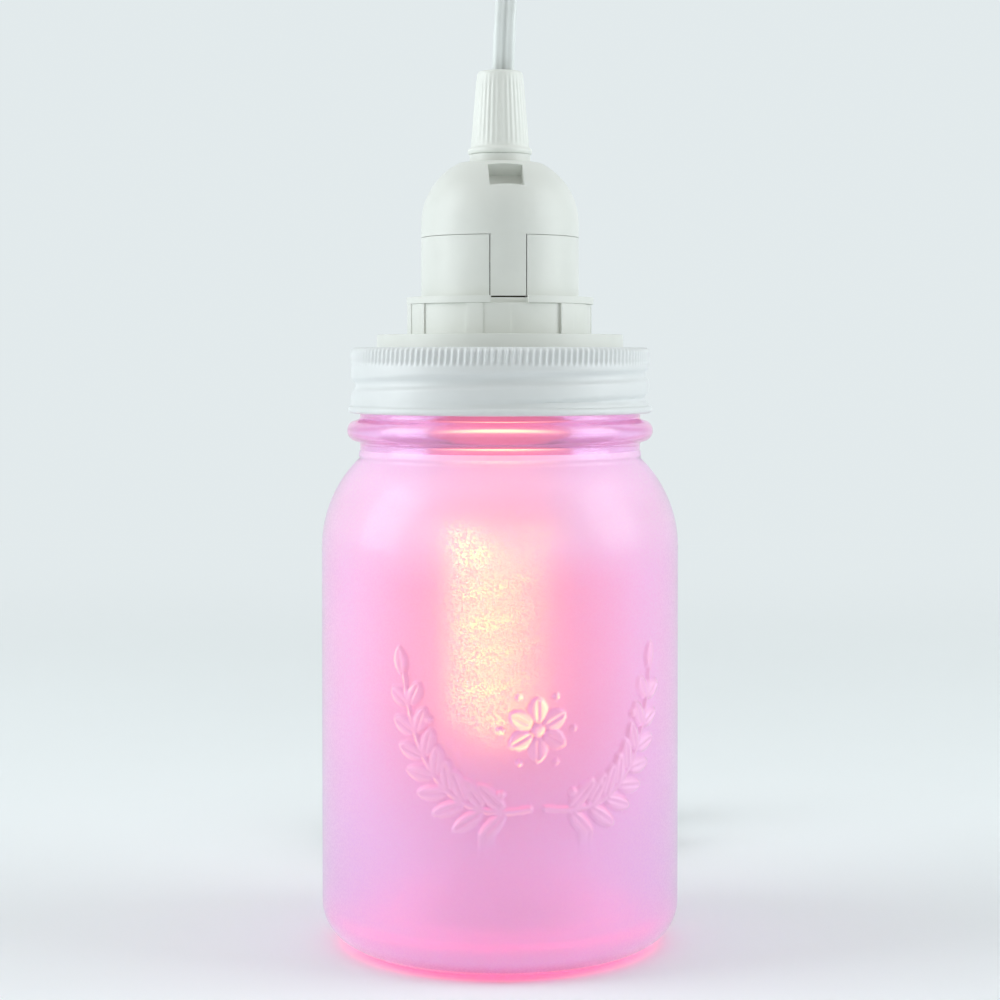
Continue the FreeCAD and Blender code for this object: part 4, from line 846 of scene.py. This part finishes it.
def branch_rises(across, up, side):
    """Heights of one branch of the wreath: a stem along a quadratic curve, pairs of leaves that get smaller
    towards its tip, a berry on a stalk by every other pair, and a leaf at the end."""
    share = np.linspace(0, 1, BRANCH_STEPS)[:, None]
    foot, pull, end = np.array(BRANCH) * [side, 1]
    stem = (1 - share) ** 2 * foot + 2 * share * (1 - share) * pull + share**2 * end
    heading = np.gradient(stem, axis=0)
    ways = np.arctan2(heading[:, 1], heading[:, 0])
    yield 0.8 * stroke(across, up, stem, BRANCH_HALF)
    for number, place in enumerate(LEAF_PLACES):
        grown = LEAF_LENGTH - LEAF_SHRINKS * number
        spread = math.radians(LEAF_SPREAD - SPREAD_SHRINKS * number)
        for turn in (ways[place] - spread, ways[place] + spread):
            yield leaf(across, up, stem[place], turn, grown, LEAF_WIDTH)
        if number % 2:
            root = stem[place - 1]
            berry = stepped(root, ways[place] + side * BERRY_LEAN, BERRY_STALK)
            yield button(across, up, berry, BERRY_RADIUS)
            yield 0.5 * stroke(across, up, np.array([root, berry]), STALK_HALF)
    yield leaf(across, up, stem[-1] - 0.5, ways[-1], *TIP_LEAF)


def flower_rises(across, up):
    """Heights of the flower: pointed petals round a button, and a ring of dots about it."""
    yield button(across, up, FLOWER, BUTTON_RADIUS)
    for number in range(PETALS):
        way = TURN * (number + 0.5) / PETALS
        yield leaf(across, up, stepped(FLOWER, way, PETAL_FOOT), way, *PETAL)
        dot = stepped(FLOWER, TURN * number / PETALS, DOT_RING)
        yield 0.8 * button(across, up, dot, DOT_RADIUS)


def ornament(across, up):
    """Height, from nought to one, of an open wreath, two leafy branches round a flower: the highest of their
    rises at each place."""
    height = np.zeros(np.shape(across))
    rises = (branch_rises(across, up, -1), branch_rises(across, up, 1), flower_rises(across, up))
    for rise in itertools.chain(*rises):
        np.maximum(height, rise, out=height)
    return height


def jar_profile(body, wall):
    """Radius and height of the jar's section in millimetres: from under the base up the outside, over the
    rim, and down the inside. Gives the profile and how many of its points are outside."""
    neck, mouth, rim = 34.4, 30.3, JAR_HIGH.z / MM
    heel, shoulder, start, bead = 10.0, 30.0, 96.8, 125.2
    bead_curve, bead_out, fillet = 2.65, 0.55, 0.9
    ring_in, ring_out, ring_round = 28.3, body - heel, 3.0
    inner_heel, lip, collar = 7.0, 1.5, 0.3
    inner = shoulder - wall
    hollow = body - wall
    centre = body - shoulder
    top = math.degrees(math.acos((neck - centre) / shoulder))
    inner_top = math.degrees(math.acos((mouth - centre) / inner))
    bead_half = math.sqrt(bead_curve**2 - bead_out**2)
    bead_angle = math.degrees(math.asin(bead_half / bead_curve))
    bead_low, bead_high = bead - bead_half - fillet, bead + bead_half + fillet
    low, high = ORNAMENT_HEIGHT - ORNAMENT_HALF[1], ORNAMENT_HEIGHT + ORNAMENT_HALF[1]
    neck_foot = start + shoulder * math.sin(math.radians(top))
    outside = np.vstack(
        [
            run_of((POLE_RADIUS, JAR_HOLLOW), (ring_in, JAR_HOLLOW), step=5.0),
            arc_of((ring_in, ring_round), ring_round, 270, 300, 2),
            run_of((ring_in + ring_round / 2, 0.0), (ring_out, 0.0), step=1.4),
            arc_of((ring_out, heel), heel, 270, 360, 14),
            run_of((body, heel), (body, low), step=3.0),
            run_of((body, low), (body, high), step=0.36),
            run_of((body, high), (body, start), step=3.0),
            arc_of((centre, start), shoulder, 0, top, 16),
            run_of((neck, neck_foot), (neck + collar, neck_foot + 0.2), step=0.6),
            run_of((neck + collar, neck_foot + 0.2), (neck + collar, neck_foot + 1.6), step=0.6),
            run_of((neck, neck_foot + 1.9), (neck, bead_low), step=0.6),
            arc_of((neck + fillet, bead_low), fillet, 180, 105, 4),
            arc_of((neck + bead_out, bead), bead_curve, -bead_angle + 12, bead_angle - 12, 14),
            arc_of((neck + fillet, bead_high), fillet, 255, 180, 4),
            run_of((neck, bead_high), (neck, rim - lip), step=0.5),
            arc_of((neck - lip, rim - lip), lip, 0, 90, 6),
        ]
    )
    inside = np.vstack(
        [
            run_of((neck - lip, rim), (mouth + lip, rim), step=0.8),
            arc_of((mouth + lip, rim - lip), lip, 90, 180, 6),
            run_of((mouth, rim - lip), (mouth, start + inner * math.sin(math.radians(inner_top))), step=3.0),
            arc_of((centre, start), inner, inner_top, 0, 14),
            run_of((hollow, start), (hollow, JAR_FLOOR + inner_heel), step=7.0),
            arc_of((hollow - inner_heel, JAR_FLOOR + inner_heel), inner_heel, 0, -90, 9),
            run_of((hollow - inner_heel, JAR_FLOOR), (POLE_RADIUS, JAR_FLOOR), step=5.0),
        ]
    )
    return np.vstack([outside, inside]), len(outside)


def jar_angles(body):
    """Angles round the jar: close together across the ornament, and wider elsewhere."""
    half = ORNAMENT_HALF[0] / body
    fine = np.linspace(-half, half, ORNAMENT_COLUMNS, endpoint=False)
    rest = np.linspace(half, TURN - half, PLAIN_COLUMNS, endpoint=False)
    return ORNAMENT_ANGLE + np.concatenate([fine, rest])


def thread_ridge(height, angle):
    """Height, from nought to one, of the ridge that winds up the neck and runs out at its ends: a rounded
    rise about the winding nearest to each place."""
    climbed = height - THREAD_START
    turn = np.mod(angle, TURN) / TURN
    along = turn + np.round(climbed / THREAD_PITCH - turn)
    ends = np.clip(np.minimum(along, THREAD_TURNS - along) / THREAD_RUNOUT + 0.2, 0, 1)
    return dome(np.clip(np.abs(climbed - THREAD_PITCH * along) / THREAD_HALF, 0, 1)) * ends


class LANTERN_OT_jar(bpy.types.Operator):
    """Make the frosted jar with its raised ornament"""

    bl_idname = "lantern.jar"
    bl_label = "Jar"

    def execute(self, context):
        settings = context.scene.lantern_jar
        body = settings.radius / MM
        profile, outside = jar_profile(body, settings.wall / MM)
        angles = jar_angles(body)
        radii = np.repeat(profile[:, :1], len(angles), axis=1)
        heights = np.repeat(profile[:, 1:], len(angles), axis=1)
        outer = np.arange(len(profile))[:, None] < outside
        # The turned section is raised by the ornament on its upright wall and by the thread on its neck
        upright = outer & (radii > body - 0.1)
        across = (np.mod(angles - ORNAMENT_ANGLE + math.pi, TURN) - math.pi) * body
        raised = upright * ornament(np.broadcast_to(across, radii.shape), heights - ORNAMENT_HEIGHT)
        neck = outer & (heights > THREAD_ZONE[0]) & (heights < THREAD_ZONE[1])
        rise = settings.relief / MM * raised + THREAD_RISE * neck * thread_ridge(heights, angles)
        grid = turned(radii + rise, heights, angles) * MM
        # Its ends, under the base and on the floor inside, are closed to a pole each
        poles = np.array([[0, 0, JAR_HOLLOW], [0, 0, JAR_FLOOR]]) * MM
        points = np.vstack([grid.reshape(-1, 3), poles])
        faces = capped_faces(*grid.shape[:2])
        polished = outer[:-1] & (heights[:-1] > POLISHED_FROM)
        clear = np.broadcast_to(~outer[:-1], polished.shape)
        caps = np.repeat([0, 1], len(angles))
        slots = np.concatenate([(clear + 2 * polished).ravel(), caps])
        finishes = [frosted_coat(settings), clear_glass(), polished_coat(settings)]
        jar = new_piece("jar", points, faces, finishes, slots)
        shares = np.concatenate([raised.ravel(), np.zeros(len(poles))]).astype(np.float32)
        jar.data.attributes.new("raised", "FLOAT", "POINT").data.foreach_set("value", shares)
        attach(jar, "jar")
        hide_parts("glass_jar")
        return {"FINISHED"}


# Band, lid and lampholder


class LANTERN_OT_band(bpy.types.Operator):
    """Make the screw band: knurled top edge, rolled thread and rolled foot"""

    bl_idname = "lantern.band"
    bl_label = "Screw band"

    def execute(self, context):
        settings = context.scene.lantern_band
        grid = self.band_grid(settings)
        faces = [grid_faces(*grid.shape[:2], rows_closed=True)]
        band = new_piece("band", grid.reshape(-1, 3), faces, [band_lacquer(settings)], sharp=60)
        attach(band, "band")
        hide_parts("screw_band")
        return {"FINISHED"}

    def band_grid(self, settings):
        """Points of the band: a turned section of thin sheet with a rolled foot, a slanted cosine round its
        top edge for the knurl, and a groove that winds up the wall with the thread and runs out."""
        foot, top = BAND_LOW.z / MM, BAND_HIGH.z / MM
        wall, sheet, lip = 36.6, 0.45, 30.2
        curl, corner, knurled = 0.9, 1.2, 4.4
        slant, sharpness, sunk, groove_half = 0.3, 1.3, 0.6, 1.25
        outside = np.vstack(
            [
                run_of((wall - 0.3, foot), (wall, foot), step=0.4),
                arc_of((wall, foot + curl), curl, -90, 90, 9),
                run_of((wall, foot + 2 * curl), (wall, top - knurled), step=0.45),
                run_of((wall, top - knurled), (wall, top - corner), step=0.4),
                arc_of((wall - corner, top - corner), corner, 0, 90, 6),
                run_of((wall - corner, top), (lip, top), step=1.4),
            ]
        )
        inside = np.vstack(
            [
                run_of((lip, top), (lip, top - sheet), (wall - sheet - corner, top - sheet), step=1.4),
                run_of((wall - sheet, top - sheet - corner), (wall - sheet, foot), step=1.0),
            ]
        )
        profile = np.vstack([outside, inside])
        angles = np.linspace(0, TURN, 6 * settings.ridges, endpoint=False)
        radii, heights = profile[:, :1], profile[:, 1:]
        edge = ramp(heights, top - knurled + 0.1, 0.5) * ramp(radii, wall - corner + 0.1, 0.9)
        ridge = (0.5 + 0.5 * np.cos(settings.ridges * angles - slant * (heights - top))) ** sharpness
        wound = heights - THREAD_START - THREAD_PITCH * angles / TURN
        offset = np.mod(wound, THREAD_PITCH) - THREAD_PITCH / 2
        room = ramp(heights, foot + 2.0, 1.6) * ramp(top - heights, 5.0, 1.4)
        groove = np.exp(-((offset / groove_half) ** 4)) * eased(room)
        on_wall = radii > wall - corner
        moved = settings.knurl * (ridge - sunk) * edge - settings.groove * groove * on_wall
        return turned(radii * MM + moved, heights * MM, angles[None, :])


class LANTERN_OT_holder(bpy.types.Operator):
    """Finish the lid, the shade rings and the lampholder, and make the ribbed cord grip"""

    bl_idname = "lantern.holder"
    bl_label = "Lampholder"

    def execute(self, context):
        settings = context.scene.lantern_holder
        plastic = moulded_plastic("holder_plastic", list(settings.plastic))
        for node in ("lid_insert", "upper_shade_ring", "lower_shade_ring", "socket_body", "socket_cap"):
            dress(node, plastic, settings.soften)
        dress("cord_clamp", plastic)
        grid = self.grip_grid(settings)
        faces = [grid_faces(*grid.shape[:2], rows_closed=True)]
        pale = moulded_plastic("grip_plastic", toned(settings.plastic, 1.08))
        grip = new_piece("grip", grid.reshape(-1, 3), faces, [pale], sharp=50)
        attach(grip, "kit")
        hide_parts("cord_grip")
        return {"FINISHED"}

    def grip_grid(self, settings):
        """Points of the cord grip: a turned section with a collar, a cone and a bore that widens twice, and a
        cosine round the cone for its ribs."""
        foot, top = GRIP_LOW.z / MM, GRIP_HIGH.z / MM
        bore, clamp_room, thread_room = 3.55, 4.55, 5.2
        collar, cone_foot, cone_top, edge, rib = 0.85, 7.1, 5.65, 0.9, 0.08
        step_high, step_low = top - 2.0, foot + 7.2
        profile = np.vstack(
            [
                run_of((thread_room, foot), (cone_foot + 0.5, foot), step=0.8),
                arc_of((cone_foot, foot + collar), collar, -60, 60, 7),
                run_of((cone_foot + 0.25, foot + 2 * collar), (cone_foot, foot + 2.0), step=1.2),
                run_of((cone_foot, foot + 2.0), (cone_top, top - edge), step=1.2),
                arc_of((cone_top - edge, top - edge), edge, 3, 90, 6),
                run_of((4.7, top), (bore, top), step=0.5),
                run_of((bore, top), (bore, step_high), step=2.0),
                run_of((bore, step_high), (clamp_room, step_high), (clamp_room, step_low), step=2.0),
                run_of((thread_room, step_low), (thread_room, foot), step=2.0),
            ]
        )
        angles = np.linspace(0, TURN, 6 * settings.ribs, endpoint=False)
        radii, heights = profile[:, :1], profile[:, 1:]
        on_cone = ramp(heights - foot, 2.2, 0.8) * ramp(top - heights, 1.6, 1.2) * (radii > thread_room + 0.1)
        return turned(radii + rib * on_cone * np.cos(settings.ribs * angles), heights, angles[None, :]) * MM


class LANTERN_OT_contacts(bpy.types.Operator):
    """Finish the contacts, screws and leads inside the lampholder"""

    bl_idname = "lantern.contacts"
    bl_label = "Contacts"

    def execute(self, context):
        brass = bare_metal("contact_brass", (0.78, 0.57, 0.26), 0.22)
        steel = bare_metal("plated_steel", (0.72, 0.72, 0.70), 0.25)
        insulator = dark_insulator()
        for node in ("centre_contact", "line_contact", "neutral_contact", "switch_contacts"):
            dress(node, brass)
        # The screw shell is darkened well past brass: painted shade for the slit under the tongue, where it is
        # seen
        dress("screw_shell", bare_metal("aged_brass", (0.10, 0.075, 0.04), 0.45))
        for node in ("terminal_screws", "switch_screws", "bulb_screw_base", "bulb_tip_contact"):
            dress(node, steel)
        dress("plug_blades", steel, 0.1 * MM)
        for node in ("contact_carrier", "bulb_base_insulator"):
            dress(node, insulator)
        dress("line_lead", moulded_plastic("lead_white", (0.75, 0.75, 0.73)))
        dress("neutral_lead", moulded_plastic("lead_grey", (0.30, 0.32, 0.34)))
        return {"FINISHED"}


class LANTERN_OT_lamp(bpy.types.Operator):
    """Finish the bulb: lit tube, housing and ballast board"""

    bl_idname = "lantern.lamp"
    bl_label = "Bulb"

    def execute(self, context):
        settings = context.scene.lantern_lamp
        dress("bulb_tube", lamp_glass(settings))
        dress("bulb_housing", lamp_housing(settings))
        dress("ballast_board", board_laminate())
        return {"FINISHED"}


class LANTERN_OT_switch(bpy.types.Operator):
    """Finish the switch, the plug and the coil's tie"""

    bl_idname = "lantern.switch"
    bl_label = "Switch and plug"

    def execute(self, context):
        settings = context.scene.lantern_holder
        shell = moulded_plastic("switch_plastic", toned(settings.plastic, 0.97), 0.36)
        for node in ("switch_cover", "switch_base", "switch_rocker", "plug_body"):
            dress(node, shell, settings.soften)
        dress("coil_tie", dark_insulator())
        return {"FINISHED"}


# Studio, in metres


SWEEP_REACH = 4.0
SWEEP_FLAT = 0.75
SWEEP_BEND = 0.6
SWEEP_DROP = 0.0003
SWEEP_FADES = (0.2, 0.9)
SKY_TURNS = (-0.8, 0.35)
SKY_FRONT = (0.36, 0.36, 0.335)
SKY_BACK = (0.97, 1.0, 1.0)
BOX_POWER = {"left_box": (-1, 7.5), "right_box": (1, 6.3)}
BOX_SIZE = (0.7, 1.0)
BOX_PLACE = (1.1, -0.15, 0.55)
BOX_AIM = Vector((0, 0, 0.1))
BOX_COLOUR = (0.92, 0.97, 1.0)


def seen_rays(start):
    """One for what the camera sees, straight, mirrored or through glass; nought for light on the object."""
    camera, mirrored, through = (
        start.node("ShaderNodeLightPath", output=name)
        for name in ("Is Camera Ray", "Is Glossy Ray", "Is Transmission Ray")
    )
    return (camera + mirrored + through).held()


class LANTERN_OT_stage(bpy.types.Operator):
    """Set up the paper sweep, the soft light and the camera"""

    bl_idname = "lantern.stage"
    bl_label = "Stage"

    def execute(self, context):
        settings = context.scene.lantern_stage
        self.paper_sweep(settings)
        self.sky(context, settings)
        self.lamps(context)
        self.camera(context, settings)
        return {"FINISHED"}

    def paper_sweep(self, settings):
        """A sheet along the table that bends up into a wall: its section carried sideways."""
        wall = SWEEP_FLAT + SWEEP_BEND
        section = np.vstack(
            [
                run_of((-SWEEP_REACH, 0.0), (SWEEP_FLAT, 0.0), step=0.25),
                arc_of((SWEEP_FLAT, SWEEP_BEND), SWEEP_BEND, 270, 360, 24),
                run_of((wall, SWEEP_BEND), (wall, SWEEP_REACH), step=0.5),
                [[wall, SWEEP_REACH]],
            ]
        )
        section[:, 1] -= SWEEP_DROP
        sides = np.linspace(-SWEEP_REACH, SWEEP_REACH, 17)
        grid = np.stack(np.broadcast_arrays(sides[None, :], section[:, :1], section[:, 1:]), axis=-1)
        rows, columns = grid.shape[:2]
        index = np.arange(rows * columns).reshape(rows, columns)
        corners = [index[:-1, :-1], index[:-1, 1:], index[1:, 1:], index[1:, :-1]]
        quads = np.stack(corners, axis=-1).reshape(-1, 4)
        made = Finish("paper", Roughness=0.9, Specular_IOR_Level=0.1)
        shade = list(settings.paper)
        fibre = made.noise(6, 3)
        made.set(Base_Color=fibre.between(*MOTTLE).mixed(toned(shade, 0.99), shade))
        far = made.place.part("Y").between(*SWEEP_FADES) * seen_rays(made.start)
        lit = Wire(made.tree, made.shader.outputs[0])
        plain = made.start.node("ShaderNodeEmission", None, {0: opaque(settings.sky)})
        both = made.start.node("ShaderNodeMixShader", None, {0: far, 1: lit, 2: plain})
        made.tree.links.new(both.socket, made.end.inputs[0])
        sweep = new_piece("paper_sweep", grid.reshape(-1, 3), [quads], [made])

    def sky(self, context, settings):
        """Soft light from all round, less from the front; what the camera sees is a plain pale tone."""
        world = bpy.data.worlds.new("studio")
        world.use_nodes = True
        context.scene.world = world
        tree = world.node_tree
        tree.nodes.clear()
        start = Wire(tree)
        way = start.node("ShaderNodeTexCoord", output=0)
        shade = way.part("Y").between(*SKY_TURNS).mixed(SKY_FRONT, SKY_BACK)
        light = start.node("ShaderNodeBackground", None, {"Color": shade, "Strength": 1.0})
        seen = start.node("ShaderNodeBackground", None, {"Color": opaque(settings.sky), "Strength": 1.0})
        both = start.node("ShaderNodeMixShader", None, {0: seen_rays(start), 1: light, 2: seen})
        start.node("ShaderNodeOutputWorld", None, {0: both})

    def lamps(self, context):
        """Two tall soft boxes at the sides."""
        for name, (side, power) in BOX_POWER.items():
            lamp = bpy.data.lights.new(name, "AREA")
            lamp.shape = "RECTANGLE"
            lamp.size, lamp.size_y = BOX_SIZE
            lamp.energy = power
            lamp.color = BOX_COLOUR
            box = bpy.data.objects.new(name, lamp)
            box.location = (side * BOX_PLACE[0], *BOX_PLACE[1:])
            box.rotation_euler = (BOX_AIM - box.location).to_track_quat("-Z", "Y").to_euler()
            context.scene.collection.objects.link(box)

    def camera(self, context, settings):
        """The photograph's viewpoint: level with the lid, tilted down a little."""
        eye = bpy.data.cameras.new("eye")
        eye.lens = settings.lens
        eye.sensor_width = 36.0
        eye.shift_y = settings.shift
        eye.clip_start = 0.01
        camera = bpy.data.objects.new("eye", eye)
        camera.location = (0, -settings.distance, settings.height)
        camera.rotation_euler = (math.pi / 2 - settings.tilt, 0, 0)
        context.scene.collection.objects.link(camera)
        context.scene.camera = camera
        context.scene.view_settings.view_transform = "Standard"


SETTINGS = {
    "lantern_jar": JarSettings,
    "lantern_band": BandSettings,
    "lantern_holder": HolderSettings,
    "lantern_cord": CordSettings,
    "lantern_lamp": LampSettings,
    "lantern_stage": StageSettings,
}
OPERATORS = (
    LANTERN_OT_stage,
    LANTERN_OT_cords,
    LANTERN_OT_jar,
    LANTERN_OT_band,
    LANTERN_OT_holder,
    LANTERN_OT_contacts,
    LANTERN_OT_lamp,
    LANTERN_OT_switch,
)


class VIEW3D_PT_lantern(bpy.types.Panel):
    """The lantern's pieces and their settings"""

    bl_label = "Mason Jar Lantern"
    bl_space_type = "VIEW_3D"
    bl_region_type = "UI"
    bl_category = "Lantern"

    def draw(self, context):
        layout = self.layout
        for operator in OPERATORS:
            layout.operator(operator.bl_idname)
        for name, group in SETTINGS.items():
            box = layout.box()
            for field in group.__annotations__:
                box.prop(getattr(context.scene, name), field)


CLASSES = (*SETTINGS.values(), *OPERATORS, VIEW3D_PT_lantern)


def register():
    """Adds the classes and the scene's settings."""
    for item in CLASSES:
        bpy.utils.register_class(item)
    for name, group in SETTINGS.items():
        setattr(bpy.types.Scene, name, bpy.props.PointerProperty(type=group))


def unregister():
    """Takes them away again."""
    for name in SETTINGS:
        delattr(bpy.types.Scene, name)
    for item in reversed(CLASSES):
        bpy.utils.unregister_class(item)


def main():
    register()
    for operator in OPERATORS:
        area, name = operator.bl_idname.split(".")
        getattr(getattr(bpy.ops, area), name)()


if __name__ == "__main__":
    main()
